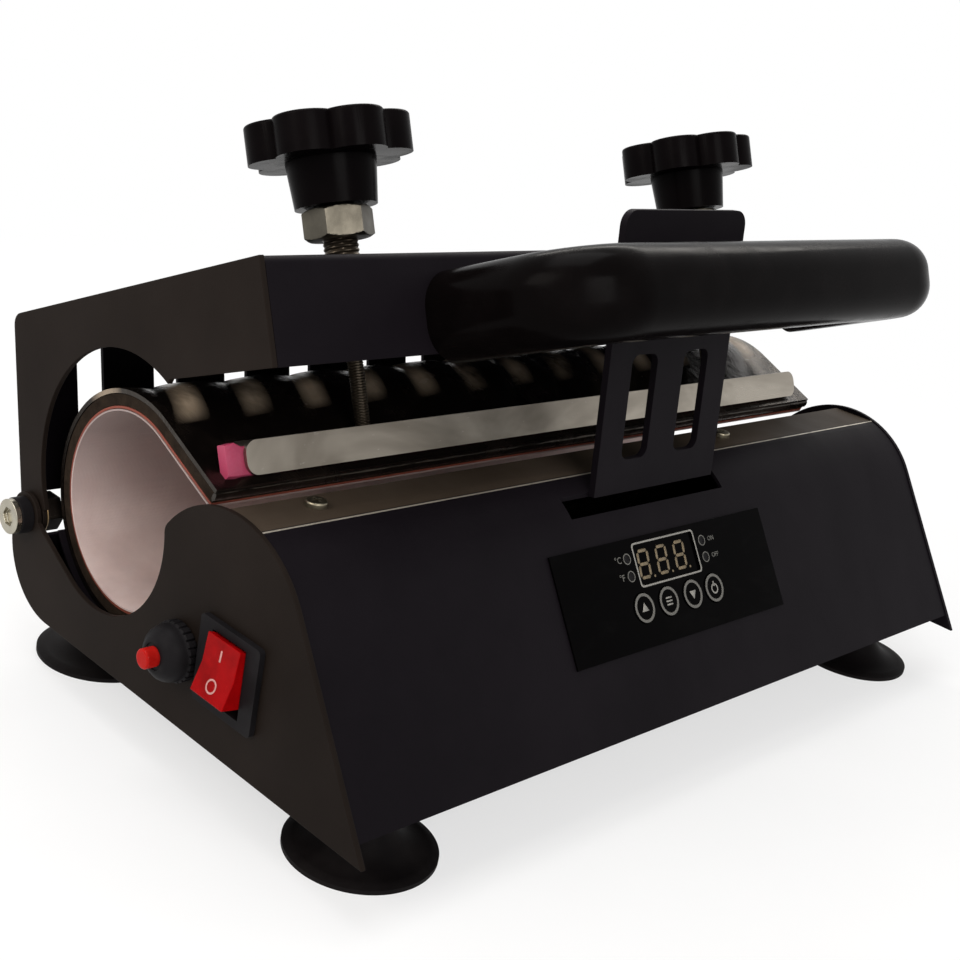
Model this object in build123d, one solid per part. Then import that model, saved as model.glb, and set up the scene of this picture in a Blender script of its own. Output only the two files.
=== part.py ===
from build123d import *
import math
import os

# Tumbler heat press: a low sheet-metal base that holds an open heater wrap along X, and a tilting upper
# frame with a bow handle, two screw knobs and a clamp bar. X runs along the wrap, Y from front to back,
# Z up. All sizes are in millimetres. While the pieces are drawn, Y = 0 is the front corner of the end
# plates and Z = 0 their lower edge; the finished set is moved so that the feet stand on Z = 0 and the
# origin lies under the middle of the whole object.

# Clearances
joint_gap = 0.06      # radial clearance of a pin or shaft that turns
fit_gap = 0.05        # clearance round a piece that is seated
side_gap = 0.5        # between a swinging plate and the fixed plate beside it
soft_gap = 0.3        # between a soft layer and its support

# End plates
half_length = 187.5   # from the middle to a plate's outer face
plate = 2.0           # thickness of the end plates and frame plates
hump_at = (79.7, 41.2)
hump_r = 42.9
saddle_shift = (2.0, 0.8)     # from the wrap's axis to the saddle's centre
saddle_more = 1.4     # the saddle's radius over the wrap's bore
saddle_fillet = 5.0
rear_rise = 27.0      # slope of the plate's upper edge behind the saddle, degrees
pivot_at = (200.0, 36.5)
lug_r = 8.5
heel_r = 28.0         # rounding of the rear lower corner

# Front panel
panel_sheet = 1.5
panel_inset = 0.5     # how far the panel lies inside the plates' outline
panel_foot = 6.2      # height of the panel's lower edge above the plates' edge
panel_return = 20.0   # how far back the lower return reaches
lip_z = 82.0
lip_end = 88.0
slot_x = (-54.0, 41.0)
slot_y = (51.8, 59.5)
slot_deep = 25.0      # height of the cut for the slot under the lip
lip_screw_x = (-154.0, 0.0, 75.5)
lip_screw_y = 80.0
screw_r = 2.0
screw_head_r = 3.8
screw_head = 2.2
strip_t = 3.0         # steel strip under the lip that the screws pull on
strip_front = 75.0
strip_half = 170.0

# Base pan, rear cover and feet
pan_sheet = 1.5
pan_rear = 197.5
vent = (30.0, 5.0)    # length and width of a slot in the pan under the wrap
vent_pitch = 18.0
vent_y = 150.0
cover_sheet = 1.2
cover_inset = 1.0     # from the pan's rear edge to the rear cover
cover_bend = 20.0     # height where the rear cover turns forward
cover_slot = (22.0, 4.0)
cover_slot_pitch = 34.0
cover_slot_z = 12.5
foot_x = 155.7
foot_front = 32.4
foot_rear = 186.2
foot_r = 26.3
foot_drop = 21.1      # how far the feet reach below the plates' edge
foot_neck_r = 9.0
foot_flare = 15.0     # height above the table where the neck starts to widen
foot_floor = 11.5     # height above the table where the stud stands in the foot
foot_hollow = 3.2     # depth of the hollow under the foot
foot_rim = 2.6        # height of the foot's edge
foot_stud_r = 3.0
foot_nut_r = 5.8
foot_nut = 5.0

# Heater wrap
wrap_bore_r = 35.6
wrap_half = 178.8
liner_t = 3.0
heater_t = 0.8
felt_t = 3.3
skin_t = 0.8
flap_slope = 23.2     # slope of the upper flap, degrees
flap_length = 33.8
cradle_sheet = 1.2
cradle_from = 214.0   # where the cradle starts and ends round the wrap, degrees
cradle_to = 330.0
cradle_half = 181.0
cradle_leg_half = 143.0
cradle_foot = 10.0
cradle_clear = 2.0    # between the pan and the cradle's lowest line

# Tilting frame
frame_tilt = 23.2     # the frame's top slopes down to the rear by this angle
frame_top_front = (87.3, 164.8)
frame_depth = 147.7   # along the sloping top
frame_face = 34.0     # height of the front face
frame_tail = (208.4, 41.4)
arch_shift = (-3.8, 8.1)       # from the wrap's axis to the arch's centre
arch_more = 7.9       # the arch's radius over the wrap
frame_bend_r = 5.0
frame_seam = 6.0      # from the rear corner down to the seam with the rear wall
rear_slot_x = (17.2, 51.6, 86.0, 120.4, 154.8)
rear_slot_w = 11.5
rear_slot_z = (57.0, 97.0)

# Pivot fasteners
pivot_r = 4.0
pivot_spacer_r = 6.9
pivot_spacer = 4.8
pivot_head_r = 6.6
pivot_head = 2.3
pivot_socket = 1.5    # depth of the hexagon in the bolt's head
pivot_nut_r = 7.5
pivot_nut = 6.5
bush_wall = 2.0
bush_flange_r = 8.0
bush_flange = 0.7

# Handle
handle_half = 119.0
arm_width = 33.0
grip_depth = 33.0
grip_height = 31.5
grip_reach = 70.0     # from the frame's face to the front of the grip
grip_mid = -22.0      # height of the grip's middle under the frame's top
grip_edge_r = 13.0
hollow_corner_r = 14.0
handle_screw_x = 104.0
handle_screw_u = (-11.5, -26.5)
handle_screw_in = 16.0

# Latch plate
latch_half = 37.5
latch_t = 3.0
latch_low = (56.2, 77.5)
latch_high = (68.3, 184.0)
latch_corner_r = 6.0
window_x = 16.2
window_w = 15.5
window_from = 13.1
window_to = 53.4
window_r = 3.8
latch_pin_v = -5.0    # the pin lies this far in front of the frame's face
latch_pin_u = -20.2
latch_pin_r = 2.5
knuckle_wall = 2.1
lug_x = 30.5
lug_t = 3.0

# Clamp bar, rods and knobs
rod_x = 107.0
rod_v = 51.6          # distance of the rods behind the frame's face
sleeve_r = 6.5
rod_r = 3.0
rod_neck_r = 2.0
boss_r = 11.0
boss_h = 12.0
bar_x = (-165.0, 168.0)
bar_lift = 2.0        # the bar's lower edge over the upper flap
bar_face = 11.9
bar_ahead = 6.5       # front of the bar to the rod axis
bar_behind = 4.5
bar_sheet = 1.6
bar_end_round = 4.5
pad_x = (-173.0, 165.0)
pad_t = 3.4
rod_foot_r = 3.2      # collar under the bar that lifts it
rod_foot = 1.2
nut_from = 12.0
nut_to = 23.0
nut_r = 13.0
hub_from = 23.5
hub_to = 40.0
hub_low_r = 15.0
hub_top_r = 16.5
sleeve_grip = 12.0    # length of the sleeve inside the knob
star_to = 54.0
star_r = 30.0
star_lobes = 7
star_lobe_r = 11.5
star_edge_r = 1.2

# Switch and breaker on the left plate
switch_at = (71.5, 32.0)
bezel = 31.0
bezel_t = 2.2
switch_body = 27.6
switch_deep = 22.0
rocker_w = 17.0
rocker_l = 24.0
rocker_tilt = 13.0
rocker_out = 12.0      # from the pin to the rocker's face
rocker_pin_r = 1.5
rocker_pin_in = 4.0   # depth of the pin behind the plate's outer face
well_deep = 12.0
breaker_at = (98.6, 27.7)
breaker_thread_r = 6.0
breaker_nut_r = 10.5
breaker_nut = 3.6
breaker_dome = 4.2    # cone in front of the nut's knurled rim
breaker_dome_r = 7.0  # the cone's small end
breaker_knurls = 24
breaker_body_r = 8.0
breaker_deep = 26.0
tab = (6.0, 0.8, 8.0)     # width, thickness and length of a wire tab
button_r = 3.5
button_out = 15.0
button_in = 12.0

# Control panel, measured up the slope from the panel's lower line
overlay_x = (-73.5, 58.5)
overlay_s = (36.5, 78.0)
overlay_t = 0.8
cutout_x = (-45.0, 28.0)
cutout_s = (43.5, 76.6)
display_x = (-27.6, 10.6)
display_s = (59.2, 75.4)
lens_edge = 1.0
key_x = (-29.7, -14.6, 0.7, 14.9)
key_names = ("key_up", "key_set", "key_down", "key_start")
key_s = 51.3
key_r = 5.8
key_proud = 0.5
key_travel = 0.4
key_gap = 0.2         # round a key or light and behind a key's stem
key_root = 1.2        # depth of a key's flange under the panel's outer face
key_stem = 9.0        # depth of the stem's end
key_stem_r = 1.5
key_switch = (6.0, 4.3)   # side and height of a key's switch
led_x = (-32.1, 15.4)
led_s = (63.9, 70.6)
led_r = 2.0
board_x = 96.0
board_s = 44.0
board_mid = (-8.0, 58.0)
board_t = 1.6
board_drop = 14.4     # board's front face under the panel's outer face
board_margin = (4.0, 5.0)
standoff_r = 2.5

# Power parts
inlet_at = (62.0, 30.0)
inlet_body = (27.0, 20.0)
inlet_flange = (50.0, 24.0)
inlet_screw = 40.0    # between the two screws
inlet_deep = 22.0
inlet_flange_t = 3.0
inlet_wall = 1.5
inlet_floor = 5.0
contact = (2.0, 4.0)
contacts_at = ((-7.0, 0.0), (7.0, 0.0), (0.0, 3.5))
inlet_head = 1.6
relay_size = (58.0, 44.0, 25.0)
relay_mid = (-60.0, 70.0)
relay_screw = (44.0, 28.0, 3.5, 2.0)   # spacing in X and Y, radius and height of a terminal screw
transformer_size = (48.0, 38.0, 36.0)
transformer_mid = (90.0, 78.0)
terminal_size = (46.0, 16.0, 14.0)
terminal_mid = (14.0, 90.0)
terminal_ways = 5
terminal_hole_r = 2.4

inner = half_length - plate
pan_low = panel_foot + panel_sheet
pan_top = pan_low + pan_sheet
wrap_r = wrap_bore_r + liner_t + heater_t + felt_t + skin_t
cradle_r = wrap_r + soft_gap
wrap_at = (pivot_at[0] - pivot_nut_r - wrap_r, pan_top + cradle_clear + cradle_sheet + cradle_r)
saddle_at = (wrap_at[0] + saddle_shift[0], wrap_at[1] + saddle_shift[1])
saddle_r = wrap_bore_r + saddle_more
arch_at = (wrap_at[0] + arch_shift[0], wrap_at[1] + arch_shift[1])
arch_r = wrap_r + arch_more
slope = math.degrees(math.atan2(hump_at[1], hump_at[0]))
slope += math.degrees(math.asin(hump_r / math.hypot(*hump_at)))

pieces = {}


def put(name, *shapes):
    """Keep every solid of the given shapes under one name."""
    pieces[name] = [solid for shape in shapes for solid in shape.solids()]


def way(degrees, length=1.0):
    return (length * math.cos(math.radians(degrees)), length * math.sin(math.radians(degrees)))


def on_circle(centre, radius, degrees):
    step = way(degrees, radius)
    return (centre[0] + step[0], centre[1] + step[1])


def polygon(*points):
    return make_face(Polyline(*points, close=True))


def along_x(sketch, x0, x1):
    """Extrude a sketch drawn in Y and Z from x0 to x1."""
    return extrude(Plane.YZ.offset(x0) * sketch, x1 - x0)


def box(x, y, z):
    """Box between the three pairs of limits."""
    middle = Pos((x[0] + x[1]) / 2, (y[0] + y[1]) / 2, (z[0] + z[1]) / 2)
    return middle * Box(x[1] - x[0], y[1] - y[0], z[1] - z[0])


def rod_along_x(at, radius, x0, x1):
    return along_x(Pos(*at) * Circle(radius), x0, x1)


def both_sides(shape):
    return [shape, mirror(shape, about=Plane.YZ)]


def nearest(shape, *at):
    return shape.vertices().sort_by_distance(at + (0,) * (3 - len(at)))[0]


# Three sloping working planes: up the front panel, over the frame's top and along the latch plate.
# Local X is the object's X; local Y climbs the panel, runs back over the frame, or climbs the latch.
panel_line = (panel_inset * math.sin(math.radians(slope)), -panel_inset * math.cos(math.radians(slope)))
panel_plane = Plane(origin=(0, *panel_line), x_dir=(1, 0, 0),
                    z_dir=(0, -math.sin(math.radians(slope)), math.cos(math.radians(slope))))
tilt_sin = math.sin(math.radians(frame_tilt))
tilt_cos = math.cos(math.radians(frame_tilt))
frame_plane = Plane(origin=(0, *frame_top_front), x_dir=(1, 0, 0), z_dir=(0, tilt_sin, tilt_cos))
latch_rise = (latch_high[0] - latch_low[0], latch_high[1] - latch_low[1])
latch_length = math.hypot(*latch_rise)
latch_plane = Plane(origin=(0, *latch_low), x_dir=(1, 0, 0), z_dir=(0, -latch_rise[1], latch_rise[0]))


def frame_point(v, u):
    """Y and Z of a point v behind the frame's face and u above its top."""
    return (frame_top_front[0] + v * tilt_cos + u * tilt_sin,
            frame_top_front[1] - v * tilt_sin + u * tilt_cos)


def frame_place(point):
    """Inverse of frame_point."""
    y = point[0] - frame_top_front[0]
    z = point[1] - frame_top_front[1]
    return (y * tilt_cos - z * tilt_sin, y * tilt_sin + z * tilt_cos)


# End plates
touch = on_circle(hump_at, hump_r, 90 + slope)
crest = on_circle(hump_at, hump_r, 90)
hump_end = on_circle(hump_at, hump_r, 0)
saddle_end = on_circle(saddle_at, saddle_r, rear_rise - 90)
run = (pivot_at[0] - lug_r / 2 - saddle_end[0]) / math.cos(math.radians(rear_rise))
lug_meet = (saddle_end[0] + way(rear_rise, run)[0], saddle_end[1] + way(rear_rise, run)[1])
heel = (pivot_at[0] + lug_r, 0)
outline = make_face(
    Line((0, 0), touch)
    + ThreePointArc(touch, crest, hump_end)
    + Polyline(hump_end, saddle_end, lug_meet, (heel[0], pivot_at[1]), heel, (0, 0))
)
outline = outline + Pos(*pivot_at) * Circle(lug_r) - Pos(*saddle_at) * Circle(saddle_r)
outline = fillet(nearest(outline, *heel), heel_r)
cusp = max((v for v in outline.vertices() if v.Z < 1 and v.X < saddle_at[0]), key=lambda v: v.X * 0.4 + v.Y)
outline = fillet(cusp, saddle_fillet)
outline -= Pos(*pivot_at) * Circle(pivot_r + joint_gap)
switch_hole = Pos(*switch_at) * Rectangle(switch_body + 2 * fit_gap, switch_body + 2 * fit_gap)
breaker_hole = Pos(*breaker_at) * Circle(breaker_thread_r + fit_gap)
inlet_hole = Pos(*inlet_at) * Rectangle(inlet_body[0] + 2 * fit_gap, inlet_body[1] + 2 * fit_gap)
inlet_screws_at = [(inlet_at[0] + side * inlet_screw / 2, inlet_at[1]) for side in (-1, 1)]
for at in inlet_screws_at:
    inlet_hole += Pos(*at) * Circle(screw_r + fit_gap)
put("end_plate_left", along_x(outline - switch_hole - breaker_hole, -half_length, -inner))
put("end_plate_right", along_x(outline - inlet_hole, inner, half_length))

# Front panel


def panel_profile(depth):
    """Corner points of a line that runs depth under the panel's outer face."""
    off = panel_inset + depth
    radius = hump_r - off
    start = (off * math.sin(math.radians(slope)), -off * math.cos(math.radians(slope)))
    foot_z = panel_foot + depth
    climb = (foot_z - start[1]) / math.sin(math.radians(slope))
    foot = (start[0] + climb * math.cos(math.radians(slope)), foot_z)
    top_z = lip_z - depth
    bend = (hump_at[0] - math.sqrt(radius ** 2 - (top_z - hump_at[1]) ** 2), top_z)
    bend_angle = math.degrees(math.atan2(bend[1] - hump_at[1], bend[0] - hump_at[0]))
    middle = on_circle(hump_at, radius, (90 + slope + bend_angle) / 2)
    return foot, on_circle(hump_at, radius, 90 + slope), middle, bend


foot, roll, roll_mid, bend = panel_profile(0)
foot_in, roll_in, roll_in_mid, bend_in = panel_profile(panel_sheet)
panel_face = make_face(
    Line(foot, roll)
    + ThreePointArc(roll, roll_mid, bend)
    + Polyline(bend, (lip_end, lip_z), (lip_end, lip_z - panel_sheet), bend_in)
    + ThreePointArc(bend_in, roll_in_mid, roll_in)
    + Polyline(roll_in, foot_in, (panel_return, pan_low), (panel_return, panel_foot), foot)
)
panel = along_x(panel_face, -inner, inner)
panel -= box(slot_x, slot_y, (lip_z - slot_deep, lip_z + panel_sheet))
cutout_size = (cutout_x[1] - cutout_x[0], cutout_s[1] - cutout_s[0])
cutout = Pos(sum(cutout_x) / 2, sum(cutout_s) / 2) * Box(*cutout_size, 4 * panel_sheet)
panel -= panel_plane * cutout
for x in lip_screw_x:
    panel -= Pos(x, lip_screw_y, lip_z) * Cylinder(screw_r + fit_gap, 4 * panel_sheet)
put("front_panel", panel)

strip_top = lip_z - panel_sheet
strip_low = strip_top - strip_t
strip = box((-strip_half, strip_half), (strip_front, lip_end - fit_gap), (strip_low, strip_top))
screws = []
for x in lip_screw_x:
    strip -= Pos(x, lip_screw_y, strip_top) * Cylinder(screw_r + fit_gap, 4 * strip_t)
    head = Pos(x, lip_screw_y, lip_z + screw_head / 2) * Cylinder(screw_head_r, screw_head)
    head = fillet(head.edges().sort_by(Axis.Z)[-1], screw_head / 2.5)
    drive = Pos(x, lip_screw_y, lip_z + screw_head)
    head -= drive * Box(screw_head_r, screw_head / 3, screw_head)
    head -= drive * Box(screw_head / 3, screw_head_r, screw_head)
    shank_from = strip_low + fit_gap
    shank = Pos(x, lip_screw_y, (shank_from + lip_z) / 2) * Cylinder(screw_r, lip_z - shank_from)
    screws.append(head + shank)
put("lip_screws", *screws)
put("wrap_strip", strip)

# Base pan, rear cover, feet
pan_front = foot_in[0] + 2 * pan_sheet * math.cos(math.radians(slope)) + soft_gap
pan = box((-inner, inner), (pan_front, pan_rear), (pan_low, pan_top))
for column in range(-4, 5):
    vent_place = Pos(column * vent_pitch, vent_y, pan_low - pan_sheet) * Rot(0, 0, 90)
    pan -= extrude(vent_place * SlotOverall(*vent), 3 * pan_sheet)
feet_at = [(side * foot_x, y) for y in (foot_front, foot_rear) for side in (-1, 1)]
for x, y in feet_at:
    pan -= Pos(x, y, pan_low) * Cylinder(foot_stud_r + fit_gap, 4 * pan_sheet)
put("base_pan", pan)

cover_back = pan_rear - cover_inset
cover_top = on_circle(wrap_at, cradle_r + 2 * cradle_sheet + soft_gap, cradle_to)
cover = along_x(polygon(cover_top, (cover_back, cover_bend), (cover_back, pan_top),
                        (cover_back - cover_sheet, pan_top), (cover_back - cover_sheet, cover_bend - 0.4),
                        (cover_top[0] - cover_sheet, cover_top[1] - 0.6)), -inner, inner)
for column in range(-4, 5):
    slot_mid = column * cover_slot_pitch
    cover -= box((slot_mid - cover_slot[0] / 2, slot_mid + cover_slot[0] / 2),
                 (cover_back - 2 * cover_sheet, cover_back + cover_sheet),
                 (cover_slot_z, cover_slot_z + cover_slot[1]))
put("rear_cover", cover)

names = ("foot_front_left", "foot_front_right", "foot_rear_left", "foot_rear_right")
foot_bore_r = foot_stud_r + fit_gap
floor_z = foot_floor - foot_drop
flare_z = foot_flare - foot_drop
rim = (foot_r - foot_rim, foot_rim - foot_drop)
sweep_mid = (foot_neck_r + 0.31 * (rim[0] - foot_neck_r), rim[1] + 0.32 * (flare_z - rim[1]))
cup_face = make_face(
    Polyline((foot_bore_r, floor_z), (foot_bore_r, pan_low), (foot_neck_r, pan_low), (foot_neck_r, flare_z))
    + ThreePointArc((foot_neck_r, flare_z), sweep_mid, rim)
    + Polyline(rim, (foot_r, 1.6 - foot_drop), (foot_r, -foot_drop), (foot_r - 2.5, -foot_drop),
               (foot_r - 5.5, 1.5 - foot_drop), (foot_stud_r, foot_hollow - foot_drop),
               (0, foot_hollow - foot_drop), (0, floor_z), (foot_bore_r, floor_z))
)
cup = revolve(Plane.XZ * cup_face, Axis.Z)
stud_low = floor_z + fit_gap
studs = []
for name, (x, y) in zip(names, feet_at):
    put(name, Pos(x, y, 0) * cup)
    nut_top = pan_top + foot_nut
    stud = Pos(x, y, (stud_low + nut_top + 2) / 2) * Cylinder(foot_stud_r, nut_top + 2 - stud_low)
    studs.append(stud + extrude(Pos(x, y, pan_top) * RegularPolygon(foot_nut_r, 6), foot_nut))
put("foot_studs", *studs)

# Heater wrap
reach = (wrap_at[0] - (lip_end - 0.7), wrap_at[1] - strip_low)
reach_angle = math.degrees(math.atan2(reach[1], reach[0]))
fall = reach_angle - math.degrees(math.asin(wrap_bore_r / math.hypot(*reach)))
lower_angle = fall - 90
upper_angle = 90 + flap_slope
wrap_span = upper_angle - lower_angle


def wrap_layer(near, far):
    """One layer of the wrap: lower flap, round the bore, upper flap."""
    ends = []
    for radius in (near, far):
        low = on_circle(wrap_at, radius, lower_angle)
        back = (low[1] - strip_low) / math.sin(math.radians(fall))
        start = (low[0] - way(fall, back)[0], strip_low)
        high = on_circle(wrap_at, radius, upper_angle)
        step = way(upper_angle + 90, flap_length)
        ends.append((start, low, high, (high[0] + step[0], high[1] + step[1])))
    (a0, a1, a2, a3), (b0, b1, b2, b3) = ends
    face = make_face(
        Line(a0, a1) + CenterArc(wrap_at, near, lower_angle, wrap_span) + Polyline(a2, a3, b3, b2)
        + CenterArc(wrap_at, far, lower_angle, wrap_span) + Polyline(b1, b0, a0)
    )
    return along_x(face, -wrap_half, wrap_half)


radius = wrap_bore_r
for name, thick in (("wrap_liner", liner_t), ("wrap_heater", heater_t), ("wrap_felt", felt_t),
                    ("wrap_skin", skin_t)):
    last = name == "wrap_skin"
    put(name, wrap_layer(radius, radius + thick - (0 if last else fit_gap)))
    radius += thick

cradle_span = cradle_to - cradle_from
cradle_start_in = on_circle(wrap_at, cradle_r, cradle_from)
cradle_start_out = on_circle(wrap_at, cradle_r + cradle_sheet, cradle_from)
cradle_end_in = on_circle(wrap_at, cradle_r, cradle_to)
cradle_end_out = on_circle(wrap_at, cradle_r + cradle_sheet, cradle_to)
sector = make_face(
    CenterArc(wrap_at, cradle_r, cradle_from, cradle_span)
    + Line(cradle_end_in, cradle_end_out)
    + CenterArc(wrap_at, cradle_r + cradle_sheet, cradle_from, cradle_span)
    + Line(cradle_start_out, cradle_start_in)
)
cradle = along_x(sector, -cradle_half, cradle_half)
for angle in (cradle_from, cradle_to):
    top = on_circle(wrap_at, cradle_r + cradle_sheet / 2, angle)
    low_y = top[0] - cradle_sheet / 2
    cradle += box((-cradle_leg_half, cradle_leg_half), (low_y, low_y + cradle_sheet), (pan_top, top[1]))
    toe = low_y + cradle_sheet - cradle_foot
    cradle += box((-cradle_leg_half, cradle_leg_half), (toe, low_y + cradle_sheet),
                  (pan_top, pan_top + cradle_sheet))
put("wrap_cradle", cradle)

# Tilting frame
rear_top = frame_point(frame_depth, 0)
face_low = frame_point(0, -frame_face)
side_face = polygon(face_low, frame_top_front, rear_top, (frame_tail[0], frame_tail[1]),
                    (pivot_at[0] + lug_r * 0.9, pivot_at[1]), pivot_at, arch_at,
                    on_circle(arch_at, arch_r * 1.04, 113))
side_face -= Pos(*arch_at) * Circle(arch_r)
side_face += Pos(*pivot_at) * Circle(lug_r)
side_face = fillet(nearest(side_face, *rear_top), frame_bend_r)
bush_r = pivot_r + joint_gap + bush_wall
side_face -= Pos(*pivot_at) * Circle(bush_r + fit_gap)
side_out = inner - side_gap
side_in = side_out - plate
left_side = along_x(side_face, -side_out, -side_in)
put("frame_side_left", left_side)
put("frame_side_right", mirror(left_side, about=Plane.YZ))


def shifted_corner(before, corner, after, depth):
    """Corner of the line that runs depth inside the folded sheet."""
    d1 = (corner[0] - before[0], corner[1] - before[1])
    d2 = (after[0] - corner[0], after[1] - corner[1])
    n1 = (d1[1] / math.hypot(*d1), -d1[0] / math.hypot(*d1))
    n2 = (d2[1] / math.hypot(*d2), -d2[0] / math.hypot(*d2))
    share = 1 + n1[0] * n2[0] + n1[1] * n2[1]
    return (corner[0] + depth * (n1[0] + n2[0]) / share, corner[1] + depth * (n1[1] + n2[1]) / share)


tail_way = (frame_tail[0] - rear_top[0], frame_tail[1] - rear_top[1])
tail_len = math.hypot(*tail_way)


def on_tail(along, depth):
    """Point in the rear wall, along it from the corner above it and depth inside the sheet."""
    return (rear_top[0] + (along * tail_way[0] + depth * tail_way[1]) / tail_len,
            rear_top[1] + (along * tail_way[1] - depth * tail_way[0]) / tail_len)


front_in = (face_low[0] + plate * tilt_cos, face_low[1] - plate * tilt_sin)
seam_out = on_tail(frame_seam, 0)
seam_in = on_tail(frame_seam, plate)
top_in = shifted_corner(face_low, frame_top_front, rear_top, plate)
back_in = shifted_corner(frame_top_front, rear_top, frame_tail, plate)
fold_r = 2.6
shell_face = make_face(
    FilletPolyline(face_low, frame_top_front, rear_top, seam_out, radius=(fold_r, frame_bend_r))
    + Line(seam_out, seam_in)
    + FilletPolyline(seam_in, back_in, top_in, front_in, radius=(frame_bend_r - plate, fold_r - plate))
    + Line(front_in, face_low)
)
shell = along_x(shell_face, -side_in, side_in)
rear_wall = along_x(polygon(seam_out, frame_tail, on_tail(tail_len, plate), seam_in), -side_in, side_in)
for x in rear_slot_x:
    for side in (-1, 1):
        slot_box = box((side * x - rear_slot_w / 2, side * x + rear_slot_w / 2),
                       (frame_tail[0] - 10, rear_top[0] + 10), rear_slot_z)
        rear_wall -= slot_box
bosses = []
for side in (-1, 1):
    shell -= frame_plane * Pos(side * rod_x, rod_v, 0) * Cylinder(sleeve_r + 2 * side_gap, 4 * plate)
    boss_mid = -plate - boss_h / 2
    boss = Pos(side * rod_x, rod_v, boss_mid) * Cylinder(boss_r, boss_h)
    boss -= Pos(side * rod_x, rod_v, boss_mid) * Cylinder(sleeve_r + joint_gap, boss_h + 1)
    bosses.append(frame_plane * boss)
    for u in handle_screw_u:
        hole = Pos(side * handle_screw_x, 0, u) * Rot(90, 0, 0) * Cylinder(screw_r + fit_gap, 4 * plate)
        shell -= frame_plane * hole
put("frame_shell", shell)
put("frame_rear", rear_wall)
put("rod_bosses", *bosses)

# Pivot fasteners
spacer_end = half_length + pivot_spacer
head_end = spacer_end + pivot_head
bush_end = side_in - bush_flange
nut_out = bush_end - 0.2
pivot_hole = pivot_r + joint_gap
bolt = rod_along_x(pivot_at, pivot_r, nut_out - pivot_nut - 2, spacer_end)
bolt += rod_along_x(pivot_at, pivot_head_r, spacer_end, head_end)
socket = Pos(*pivot_at) * RegularPolygon(pivot_head_r * 0.55, 6)
bolt -= along_x(socket, head_end - pivot_socket, head_end + 1)
spacer = rod_along_x(pivot_at, pivot_spacer_r, half_length, spacer_end)
spacer -= rod_along_x(pivot_at, pivot_hole, half_length, spacer_end)
nut = along_x(Pos(*pivot_at) * RegularPolygon(pivot_nut_r, 6), nut_out - pivot_nut, nut_out)
nut -= rod_along_x(pivot_at, pivot_hole, nut_out - pivot_nut, nut_out)
bush = rod_along_x(pivot_at, bush_r, bush_end, side_out + 0.3)
bush += rod_along_x(pivot_at, bush_flange_r, bush_end, side_in)
bush -= rod_along_x(pivot_at, pivot_hole, bush_end, side_out + 1)
put("pivot_bolts", *both_sides(bolt))
put("pivot_spacers", *both_sides(spacer))
put("pivot_nuts", *both_sides(nut))
put("frame_bushes", *both_sides(bush))

# Handle
arm_in = handle_half - arm_width
loop = Pos(0, -grip_reach / 2) * Rectangle(2 * handle_half, grip_reach)
loop = fillet(loop.vertices().group_by(Axis.Y)[0], grip_depth * 1.05)
hollow_depth = grip_reach - grip_depth
hollow = Pos(0, -hollow_depth / 2) * Rectangle(2 * arm_in, hollow_depth)
hollow = fillet(hollow.vertices().group_by(Axis.Y)[0], hollow_corner_r)
handle = extrude(loop - hollow, grip_height / 2, both=True)
round_edges = [e for e in handle.edges() if abs(e.center().Z) > grip_height / 2 - 0.1 and e.center().Y < -0.1]
handle = fillet(round_edges, grip_edge_r)
handle = Pos(0, 0, grip_mid) * handle
handle_screws = []
for side in (-1, 1):
    for u in handle_screw_u:
        place = Pos(side * handle_screw_x, 0, u) * Rot(90, 0, 0)
        handle -= place * Pos(0, 0, handle_screw_in / 2) * Cylinder(screw_r + fit_gap, handle_screw_in)
        shank_l = handle_screw_in + plate - 1
        shank = place * Pos(0, 0, shank_l / 2 - plate) * Cylinder(screw_r, shank_l)
        head = place * Pos(0, 0, -plate - screw_head / 2) * Cylinder(screw_head_r, screw_head)
        handle_screws.append(frame_plane * (shank + head))
put("handle_grip", frame_plane * handle)
put("handle_screws", *handle_screws)

# Latch plate and its hinge
plate_face = Pos(0, latch_length / 2) * Rectangle(2 * latch_half, latch_length)
plate_face = fillet(plate_face.vertices().group_by(Axis.Y)[-1], latch_corner_r)
window_h = window_to - window_from
window = RectangleRounded(window_w, window_h, window_r)
for side in (-1, 1):
    plate_face -= Pos(side * window_x, window_from + window_h / 2) * window
pin_at = frame_point(latch_pin_v, latch_pin_u)
latch = latch_plane * extrude(plate_face, -latch_t)
pin_step = (pin_at[0] - latch_low[0], pin_at[1] - latch_low[1])
pin_t = (pin_step[0] * latch_rise[0] + pin_step[1] * latch_rise[1]) / latch_length
pin_back = (pin_step[0] * latch_rise[1] - pin_step[1] * latch_rise[0]) / latch_length
knuckle_r = latch_pin_r + knuckle_wall
knuckle_root = latch_t - 0.5
knuckle = Pos((pin_back + knuckle_root) / 2, 0) * Rectangle(pin_back - knuckle_root, 2 * knuckle_r)
knuckle += Pos(pin_back, 0) * Circle(knuckle_r)
knuckle -= Pos(pin_back, 0) * Circle(latch_pin_r + joint_gap)
knuckle_plane = Plane(origin=(0, *latch_low), x_dir=(0, latch_rise[1], -latch_rise[0]), z_dir=(1, 0, 0))
for side in (-1, 1):
    start = latch_half - lug_t if side > 0 else -latch_half
    ear = extrude(knuckle_plane * Pos(0, pin_t, start) * knuckle, lug_t, dir=(1, 0, 0))
    latch += ear
put("latch_plate", latch)

lugs = []
for side in (-1, 1):
    ear = Pos(side * lug_x, latch_pin_v / 2, latch_pin_u) * Box(lug_t, -latch_pin_v, 2 * knuckle_r)
    eye_place = Pos(side * lug_x, latch_pin_v, latch_pin_u) * Rot(0, 90, 0)
    ear += eye_place * Cylinder(knuckle_r, lug_t)
    ear -= eye_place * Cylinder(latch_pin_r + fit_gap, 2 * lug_t)
    lugs.append(frame_plane * ear)
put("latch_lugs", *lugs)
pin = rod_along_x(pin_at, latch_pin_r, -latch_half - 2, latch_half + 2)
put("latch_pin", pin)

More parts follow.
